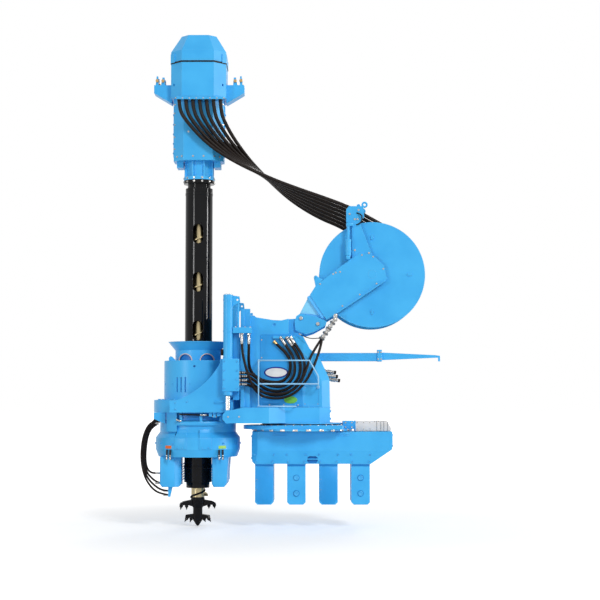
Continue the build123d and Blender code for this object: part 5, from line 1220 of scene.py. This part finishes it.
# The shell and the funnel are rolled plate. A pale bead runs round the two arches: partly worn steel at
# their edges, partly a painted highlight where the edges catch the light. The funnel's mouth and ends
# are rolled over so that nothing catches on them.
SHELL_R = 0.485
FUNNEL_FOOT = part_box("chuck_funnel")[0].z
FUNNEL_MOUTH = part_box("chuck_funnel")[1].z
spots = []
for degrees in (-134, -101, -75, -45, -20, 20, 45, 75, 105, 135, 160, -160):
    spots.append((*round_axis(AXIS_X, 1.235, SHELL_R - 0.002, math.radians(degrees)), 0.010))
fitted(socket_screw, spots, "shell_screws", "chuck_frame", azure)
arch_wear_and_highlight = enamel(
    "arch_wear_and_highlight_enamel", (0.78, 0.60, 0.50), (0.70, 0.52, 0.43), (0.88, 0.76, 0.68), 0.5, 0.002
)
runs = []
for centre in (-1.794, -1.484):
    run = []
    for step in range(25):
        angle = math.pi * step / 24
        x = centre + 0.096 * math.cos(angle)
        y = -math.sqrt(0.332**2 - (x - AXIS_X) ** 2)
        run.append((x, y, FUNNEL_FOOT + 0.096 * math.sin(angle)))
    runs.append(run)
joined([beads(runs, 0.015)], "arch_rims_wear_and_highlight", "chuck_frame", arch_wear_and_highlight)


def arc_run(radius, z, start, sweep):
    """Points along an arc round the chuck's axis."""
    run = []
    for step in range(49):
        angle = math.radians(start + sweep * step / 48)
        run.append((AXIS_X + radius * math.cos(angle), radius * math.sin(angle), z))
    return run


joined([beads([arc_run(0.4215, FUNNEL_MOUTH - 0.006, 188.5, 163)], 0.012)], "funnel_roll", "chuck_frame")
joined([beads([arc_run(0.330, FUNNEL_FOOT + 0.002, 190.5, 159)], 0.012)], "funnel_weld", "chuck_frame")


def arc_band(section, start, sweep, steps):
    """A band round the chuck's axis: a closed section, as radius and height, spun through an angle."""
    points = [(radius, 0, height) for radius, height in section]
    band = from_points(points, [], [range(len(section))], Matrix.Rotation(math.radians(start), 4, "Z"))
    bpy.ops.mesh.spin(steps=steps, angle=math.radians(sweep), center=(0, 0, 0), axis=DOWN)
    close_up()
    band.data.transform(Matrix.Translation((AXIS_X, 0, 0)))
    return band


# Below the deck a round guard hangs in front of the rotor, and pipes run behind the deck's edge from
# the valves to the left-hand bracket, with their unions.
GUARD_SECTION = (
    (0.547, 0.650), (0.566, 0.650), (0.577, 0.658), (0.582, 0.670), (0.582, 0.694), (0.577, 0.706),
    (0.566, 0.714), (0.547, 0.714),
)
guard = arc_band(GUARD_SECTION, -118, 69, 28)
hangers = [guard]
for degrees in (-113, -84, -54):
    hanger = arc_band(((0.550, 0.705), (0.574, 0.705), (0.574, 0.836), (0.550, 0.836)), degrees, 4, 2)
    hangers.append(soften(hanger, 0.003))
joined([soften(piece, 0) for piece in hangers], "rotor_guard", "chuck_frame")


def straight_pipe(start, end, radius, name, body, finish):
    """A pipe between two points, with a fine edge at its ends."""
    start, end = Vector(start), Vector(end)
    length = (end - start).length
    pipe = turned(
        [(0, 0), (radius * 0.85, 0), (radius, radius * 0.15), (radius, length - radius * 0.15),
         (radius * 0.85, length), (0, length)],
        20,
        facing(start, end - start),
    )
    return joined([pipe], name, body, finish)


black_pipe = enamel(
    "black_pipe", (0.012, 0.012, 0.013), (0.008, 0.008, 0.008), (0.06, 0.06, 0.06), 0.3
)
for start, end, name in (
    ((-1.850, -0.592, 0.812), (-1.560, -0.592, 0.800), "deck_pipe"),
    ((-1.470, -0.592, 0.800), (-1.270, -0.592, 0.790), "deck_pipe_right"),
):
    straight_pipe(start, end, 0.012, name, "chuck_frame", black_pipe)
spots = [
    ((-1.470, -0.592, 0.801), (-1, 0, 0.02), 0.0145),
    ((-1.560, -0.592, 0.801), (1, 0, 0.02), 0.0070),
    ((-1.895, -0.560, 0.737), (1, 0, -0.35), 0.0130),
    ((-1.330, -0.592, 0.775), (-1, 0, 0.1), 0.0100),
    ((-1.850, -0.592, 0.812), (1, 0, -0.04), 0.0100),
]
fitted(ferrule, spots, "deck_unions", "chuck_frame")
valve_bank = []
for left, width, low_z, high_z in (
    (-1.440, 0.052, 0.778, 0.836), (-1.382, 0.044, 0.765, 0.836), (-1.332, 0.062, 0.782, 0.836),
):
    valve = block((left, -0.600, low_z), (left + width, -0.560, high_z))
    inset(valve, (NEAR,), (0.007, 0.006))
    valve_bank.append(soften(valve, 0.003))
joined(valve_bank, "deck_valves", "chuck_frame")

# Plated ferrules end the four thin hoses, at the slanted bracket and at the leg that they feed. They
# are the crimped sleeves used above, in two smaller sizes.
spots = []
leg_spots = []
for share, _, hanging in rotor_lines:
    root = FOOT_LEFT + share * (FOOT_RIGHT - FOOT_LEFT)
    spots.append(((root.x, ROTOR_HOSE_Y, root.z), FOOT_OUT, 0.0090))
    x, z = hanging[-1]
    leg_spots.append(((x, LEG_PORT_Y, z), LEFT, 0.0125))
fitted(ferrule, spots, "bracket_ferrules", "chuck_frame")
fitted(ferrule, leg_spots, "leg_ferrules", "rotor")

# The stroke cylinders' barrels have a screwed cap above, a gland with a black wiper below, and a band
# where the carrier clamps them. A stay braces the lug to the hose bracket.
ROD_X, ROD_Y = -1.169, 0.725
BARREL_LOW, BARREL_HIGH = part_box("stroke_barrels")
barrel_parts = []
wipers = []
spots = []
for y in (-ROD_Y, ROD_Y):
    top = Matrix.Translation((ROD_X, y, BARREL_HIGH.z))
    bottom = Matrix.Translation((ROD_X, y, BARREL_LOW.z))
    barrel_parts.append(turned([(0, 0.005), (0.052, 0.005), (0.058, 0.002), (0.058, 0)], 40, top))
    gland = (
        (0.0365, -0.012), (0.052, -0.012), (0.060, -0.006), (0.060, 0.002), (0.0365, 0.002),
        (0.0365, -0.012),
    )
    barrel_parts.append(turned(gland, 40, bottom))
    for z in (1.585, 1.960, 2.400):
        band = ((0.0655, -0.016), (0.0695, -0.013), (0.0695, 0.013), (0.0655, 0.016))
        barrel_parts.append(turned(band, 48, Matrix.Translation((ROD_X, y, z))))
    wiper = ((0.0358, -0.018), (0.044, -0.018), (0.047, -0.011), (0.0358, -0.011), (0.0358, -0.018))
    wipers.append(turned(wiper, 36, bottom))
    spots += circle_spots((ROD_X, y, BARREL_HIGH.z + 0.005), 0.040, 6, 0.009)
joined(barrel_parts, "barrel_bands", "chuck_frame")
joined(wipers, "rod_wipers", "chuck_frame", rubber)
fitted(socket_screw, spots, "barrel_cap_screws", "chuck_frame")
CARRIER_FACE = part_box("barrel_carriers")[0].y
spots = []
for x in (-1.218, -1.040):
    for z in (1.165, 1.290, 1.415, 1.540):
        spots.append(((x, CARRIER_FACE, z), NEAR, 0.013))
fitted(socket_screw, both_sides(spots), "carrier_screws", "chuck_frame", azure)
STAY_X = -1.028
stay = ((STAY_X, -ROD_Y, 2.345), (STAY_X, -ROD_Y, 2.008))
straight_pipe(*stay, 0.015, "lug_stay_near", "chuck_frame", azure)
spots = [((CARRIER_BACK, COUPLING_Y, z), RIGHT, 0.0190) for z in COUPLING_Z]
fitted(coupling, spots, "carrier_couplings", "chuck_frame")
spots = []
for x in (-1.060, -0.930, -0.860):
    for y in (-0.750, -0.665):
        spots.append(((x, y, 2.012), UP, 0.013))
fitted(hex_screw, spots, "hose_bracket_screws", "chuck_frame")

# The rotor is a thick casting. Two pads are cast on its front, and small plain tabs, one orange and one
# green, mark its clamping ports, from which short pipes go down into the legs.
PAD_SECTION = (
    (0.538, 0.600), (0.538, 0.560), (0.596, 0.482), (0.596, 0.322), (0.606, 0.322), (0.6065, 0.478),
    (0.548, 0.556), (0.546, 0.600),
)
# Under each pad a slightly larger band in the darker azure shows as a thin painted shade outline.
PAD_SHADE_SECTION = ((0.5965, 0.488), (0.5965, 0.318), (0.6015, 0.318), (0.6015, 0.488))
PAD_SPANS = ((-119, 17), (-84.5, 16.5))
PAD_SHADE_SPANS = ((-119.3, 17.6), (-84.8, 17.1))
pads = [soften(arc_band(PAD_SECTION, start, sweep, 12), 0.003) for start, sweep in PAD_SPANS]
joined(pads, "rotor_pads", "rotor")
pad_shade_outlines = [soften(arc_band(PAD_SHADE_SECTION, start, sweep, 12), 0) for start, sweep in PAD_SHADE_SPANS]
joined(pad_shade_outlines, "rotor_pad_shade_outlines", "rotor", azure_painted_shade)
spots = []
for degrees in (-24.5, -16.5, 9.5, 17.5):
    spots.append((*round_axis(AXIS_X, 0.345, 0.606, math.radians(degrees - 90)), 0.009))
for degrees in range(40, 330, 24):
    spots.append((*round_axis(AXIS_X, 0.400, 0.599, math.radians(degrees - 90)), 0.015))
fitted(socket_screw, spots, "rotor_screws", "rotor", azure)
TAB_SECTION = ((0.598, 0.332), (0.603, 0.332), (0.603, 0.374), (0.598, 0.374))
orange_tab = soften(arc_band(TAB_SECTION, -135, 11, 6), 0.0015)
joined([orange_tab], "orange_tab", "rotor", orange_cap)
lime_enamel = enamel("lime_enamel", (0.42, 0.72, 0.14), (0.36, 0.64, 0.10), (0.6, 0.8, 0.35), 0.4)
green_tab = soften(arc_band(TAB_SECTION, -57.5, 12, 6), 0.0015)
joined([green_tab], "green_tab", "rotor", lime_enamel)
port_spots = []
leg_pipes = ((-2.030, -0.464), (-1.981, -0.502), (-1.298, -0.516), (-1.249, -0.481))
for number, (x, y) in enumerate(leg_pipes, 1):
    straight_pipe((x, y, 0.318), (x, y, 0.190), 0.013, f"leg_pipe_{number}", "rotor", black_pipe)
    port_spots.append(((x, y, 0.245), DOWN, 0.0118))
fitted(ferrule, port_spots, "leg_pipe_ends", "rotor")

# The chuck's legs hold serrated steel pads that grip. They are coloured shade blue, a painted shade for
# the shadow between the legs. Plated grease nipples feed the wedges behind them.
spots = []
for x, z in ((-2.108, 0.027), (-2.108, -0.086), (-2.100, -0.160), (-1.235, 0.069), (-1.235, -0.044)):
    spots.append(((x, -0.380, z), NEAR, 0.009))
fitted(nipple, both_sides(spots), "chuck_leg_nipples", "rotor")
teeth = []
for sign in (-1, 1):
    face = AXIS_X + sign * 0.2165
    for y0, y1 in ((-0.260, -0.060), (0.080, 0.260)):
        for row in range(7):
            z = -0.130 + row * 0.036
            inner, outer = sorted((face, face - sign * 0.009))
            tooth = block((inner, y0, z), (outer, y1, z + 0.028))
            pick(tooth, (-sign, 0, 0))
            bpy.ops.transform.resize(value=(1, 1, 0.45))
            bpy.ops.object.mode_set(mode="OBJECT")
            teeth.append(tooth)
joined(teeth, "chuck_teeth", "rotor", shade_blue)

# The drive unit's cover sits on a black seal. Screws run round both housings, and each hose goes into
# the inlet under the lip with a nut.
DRIVE_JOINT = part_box("drive_cover")[0].z


def drive_band(half, cut, low_z, high_z, name, finish):
    """A band that stands a little proud round the drive unit, a square with its corners cut off."""
    inner = half - cut
    corners = (
        (half, -inner), (half, inner), (inner, half), (-inner, half), (-half, inner), (-half, -inner),
        (-inner, -half), (inner, -half),
    )
    band = from_points([(AXIS_X + x, y, low_z) for x, y in corners], [], [range(8)])
    bpy.ops.mesh.extrude_region_move(TRANSFORM_OT_translate={"value": (0, 0, high_z - low_z)})
    close_up()
    return joined([soften(band, 0.002)], name, "chuck_frame", finish)


drive_band(0.4020, 0.168, DRIVE_JOINT - 0.011, DRIVE_JOINT + 0.011, "cover_seal", rubber)
drive_band(0.4005, 0.168, 5.319, 5.339, "drive_lip", azure)
spots = []
for x, z in (
    (-1.931, 4.483), (-1.859, 4.483), (-1.701, 4.483), (-1.550, 4.483), (-1.399, 4.483), (-1.327, 4.483),
    (-1.766, 4.834),
):
    across = abs(x - AXIS_X)
    if across > 0.210:
        way = (math.copysign(1, x - AXIS_X), -1, 0)
        spots.append(((x, -(0.480 - across), z), way, 0.014))
    else:
        spots.append(((x, -0.270, z), NEAR, 0.014))
for z in (5.250, 5.121, 4.956, 4.776, 4.603):
    for side in (-1, 1):
        spots.append(((AXIS_X + side * 0.346, -0.134, z), (side, -1, 0), 0.013))
fitted(hex_screw, both_sides(spots), "drive_lower_screws", "chuck_frame")
spots = []
for z in (4.56, 4.70, 4.84, 4.98, 5.12):
    for y in (-0.028, 0.028):
        for side in (-1, 1):
            spots.append(((AXIS_X + side * 0.372, y, z), (side, 0, 0), 0.012))
fitted(hex_screw, spots, "drive_seam_screws", "chuck_frame", azure)
hose_nut = small_part(turned([(0, 1.5), (0.98, 1.5), (1.12, 1.3), (1.12, 0.75), (1.3, 0.7), (1.3, 0)], 20))
spots = []
for i in range(HOSE_COUNT):
    spots.append(((HOSE_ROW_LEFT + HOSE_ROW_WIDTH * i / 6, HOSE_ROW_Y, HOSE_LEVEL), DOWN, 0.024))
fitted(hose_nut, spots, "inlet_nuts", "chuck_frame", black_enamel)
spots = [((-1.942 + 0.684 * i / 7, -0.400, 5.292), NEAR, 0.010) for i in range(8)]
fitted(hex_screw, spots, "inlet_screws", "chuck_frame")

# Turned bronze pins go through the lugs on the drive unit's side ears, where it is lifted. Weld beads
# join the ears to the housing.
EAR_TOP = 5.539
pin_profile = (
    (0, -0.132), (0.020, -0.132), (0.024, -0.128), (0.024, -0.112), (0.017, -0.110), (0.017, 0.110),
    (0.024, 0.112), (0.024, 0.128), (0.020, 0.132), (0, 0.132),
)
pins = []
for side in (-1, 1):
    for across, z in ((0.603, EAR_TOP + 0.062), (0.520, EAR_TOP + 0.058)):
        pins.append(turned(pin_profile, 28, facing((AXIS_X + side * across, 0, z), NEAR)))
joined(pins, "ear_pins", "chuck_frame", bronze)
runs = []
for side in (-1, 1):
    for y in (-0.110, 0.110):
        runs.append([(AXIS_X + side * 0.396, y, 5.275), (AXIS_X + side * 0.396, y, 5.539)])
    runs.append([(AXIS_X + side * 0.396, -0.110, 5.541), (AXIS_X + side * 0.396, 0.110, 5.541)])
joined([beads(runs, 0.012)], "ear_welds", "chuck_frame")

# On its far side the drive unit has a round inspection cover of turned, painted steel, stepped where
# its rim is screwed down.
INSPECTION_Z = 5.600
inspection = turned(
    [(0, 0.020), (0.100, 0.020), (0.106, 0.016), (0.128, 0.016), (0.134, 0.012), (0.158, 0.012),
     (0.162, 0.008), (0.162, 0)],
    64,
    facing((AXIS_X, 0.394, INSPECTION_Z), FAR),
)
joined([inspection], "inspection_cover", "chuck_frame")
spots = circle_spots((AXIS_X, 0.406, INSPECTION_Z), 0.146, 10, 0.011, FAR)
fitted(hex_screw, spots, "inspection_screws", "chuck_frame")

# Two steel flanges join the drive unit and the casing. Each is held by twelve plated hexagon screws,
# set in round its rim.
for z, name in ((4.184, "output_flange_screws"), (4.134, "casing_flange_screws")):
    spots = [(*round_axis(AXIS_X, z, 0.220, math.radians(15 + 30 * step)), 0.015) for step in range(12)]
    fitted(hex_screw, spots, name, "chuck_frame")

# The casing's windows are edged with a bead of weld, ground smooth, so that the spoil can't tear them.
# A low ring runs round the tube above them, and one below. All have the casing's black enamel.
CASING_R = 0.195
runs = []
for middle in (3.380, 2.688, 1.995):
    for way in (-1, 1):
        run = []
        for step in range(49):
            angle = math.tau * step / 48
            x = 0.075 * math.cos(angle)
            z = 0.075 * math.sin(angle) + math.copysign(0.0675, math.sin(angle))
            run.append((AXIS_X + x, way * math.sqrt(CASING_R**2 - x * x), middle + z))
        runs.append(run)
joined([beads(runs, 0.009)], "window_beads", "chuck_frame", black_enamel)
rings = []
for z in (3.960, 0.060):
    ring = ((0.1945, -0.020), (0.1985, -0.016), (0.1985, 0.016), (0.1945, 0.020))
    rings.append(turned(ring, 72, Matrix.Translation((AXIS_X, 0, z))))
joined(rings, "casing_rings", "chuck_frame", black_enamel)

# Inside the funnel's foot a thin sleeve in shade blue is painted shade: it darkens what is seen through
# the arches.
SHADE_SLEEVE_FOOT = FUNNEL_FOOT + 0.004
funnel_shade = turned(
    [(0.300, SHADE_SLEEVE_FOOT), (0.300, 1.706), (0.306, 1.712), (0.312, 1.706), (0.312, SHADE_SLEEVE_FOOT),
     (0.300, SHADE_SLEEVE_FOOT)],
    72,
    Matrix.Translation((AXIS_X, 0, 0)),
)
joined([funnel_shade], "funnel_painted_shade", "chuck_frame", shade_blue)

# Behind the pipes a band of thin sheet in shade blue runs under the deck's edge. It is painted shade,
# where the deck shades the rotor.
DECK_SHADE_SECTION = ((0.5455, 0.722), (0.5495, 0.722), (0.5495, 0.834), (0.5455, 0.834))
deck_shade = soften(arc_band(DECK_SHADE_SECTION, -112, 82, 24), 0)
joined([deck_shade], "deck_painted_shade", "chuck_frame", shade_blue)

# A sheet of thin pressed plate in the darker azure stands behind each stroke cylinder, between it and
# the mast's rail. Its colour is painted shade, where the cylinder shades the rail.
shade_sheets = []
for y in (-0.655, 0.655):
    shade_sheet = block((-1.104, y - 0.004, 1.008), (-1.014, y + 0.004, 1.931))
    inset(shade_sheet, (NEAR, FAR), (0.012, 0), (0.003, -0.001))
    shade_sheets.append(soften(shade_sheet, 0.001))
joined(shade_sheets, "cylinder_shade_sheets", "chuck_frame", azure_painted_shade)

# Cast faces: thin plates in the darker azure lie on two of the clamp legs, a painted shade for the way
# these legs face the light, and raised panels lie on the chuck's legs. A strip of shade blue at the top
# of each leg is a painted shadow under the saddle's edge.
leg_shade_plates = []
leg_top_shadows = []
for x in CLAMP_X:
    for y in (-LEG_FACE, LEG_FACE):
        leg_top_shadows.append(soften(block((x - 0.127, y - 0.004, 0.082), (x + 0.127, y + 0.004, 0.108)), 0.001))
for x in (CLAMP_X[0], CLAMP_X[2]):
    for way in (-1, 1):
        corners = (
            (x - 0.120, 0.074), (x + 0.120, 0.074), (x + 0.120, -0.395), (x + 0.078, -0.440),
            (x - 0.078, -0.440), (x - 0.120, -0.395),
        )
        plate = sheet_panel(corners, way * LEG_FACE, way, 0.004)
        leg_shade_plates.append(soften(plate, 0.002))
joined(leg_top_shadows, "leg_top_painted_shadows", "root", shade_blue)
joined(leg_shade_plates, "leg_painted_shade_plates", "root", azure_painted_shade)
leg_panels = []
for corners in (
    ((-2.125, 0.196), (-1.925, 0.196), (-1.925, -0.205), (-2.090, -0.205), (-2.125, -0.165)),
    ((-1.398, 0.196), (-1.185, 0.196), (-1.195, -0.130), (-1.235, -0.205), (-1.365, -0.205),
     (-1.398, -0.165)),
):
    for way in (-1, 1):
        panel = sheet_panel(corners, way * 0.380, way, 0.016)
        leg_panels.append(soften(panel, 0.006))
joined(leg_panels, "chuck_leg_panels", "rotor")

# A round buffer of black rubber on each stroke barrel keeps the funnel off it. Its stepped nose is
# turned towards the chuck.
buffers = []
for y in (-ROD_Y, ROD_Y):
    where = Matrix.Translation((ROD_X - 0.064, y, 1.668)) @ Matrix.Rotation(-math.pi / 2, 4, "Y")
    profile = ((0, 0), (0.040, 0), (0.044, 0.006), (0.044, 0.030), (0.038, 0.036), (0, 0.036))
    buffers.append(turned(profile, 28, where))
joined(buffers, "barrel_buffers", "chuck_frame", rubber)

# The slide cylinder's cover is pleated where it closes up, and a sheet of shade blue in the saddle's
# lifting pockets is painted shade in their hollows.
pleats = []
for x in (0.913, 0.970, 1.013, 1.067):
    for y in (COVER_LOW.y, COVER_HIGH.y):
        for low_z, high_z in ((0.660, 0.700), (0.578, 0.662)):
            pleat = block((x - 0.005, y - 0.003, low_z), (x + 0.005, y + 0.003, high_z))
            pleats.append(soften(pleat, 0.001))
pleat_grey = enamel(
    "pleat_grey", (0.42, 0.41, 0.40), (0.36, 0.35, 0.34), (0.5, 0.49, 0.48), 0.7, 0.001
)
joined(pleats, "cover_pleats", "slide_frame", pleat_grey)
pocket_shades = []
pocket_outline = (
    (-0.068, 0.130), (0.068, 0.130), (0.068, 0.190), (0.048, 0.216), (-0.048, 0.216), (-0.068, 0.190),
)
for y, way in ((-0.3215, -1), (0.3215, 1)):
    pocket_shades.append(soften(sheet_panel(pocket_outline, y, way, 0.003), 0))
joined(pocket_shades, "pocket_painted_shade", "root", shade_blue)

# A thick bead winds round the screw's flight where it leaves the casing's shoe. Its black enamel is
# painted shade, for the dark edge of the flight.
helix = []
for step in range(41):
    angle = math.radians(-200 + 230 * step / 40)
    helix.append((AXIS_X + 0.096 * math.cos(angle), 0.096 * math.sin(angle), -0.380 + 0.125 * step / 40))
joined([beads([helix], 0.030)], "screw_flight_painted_shade", "auger", black_enamel)
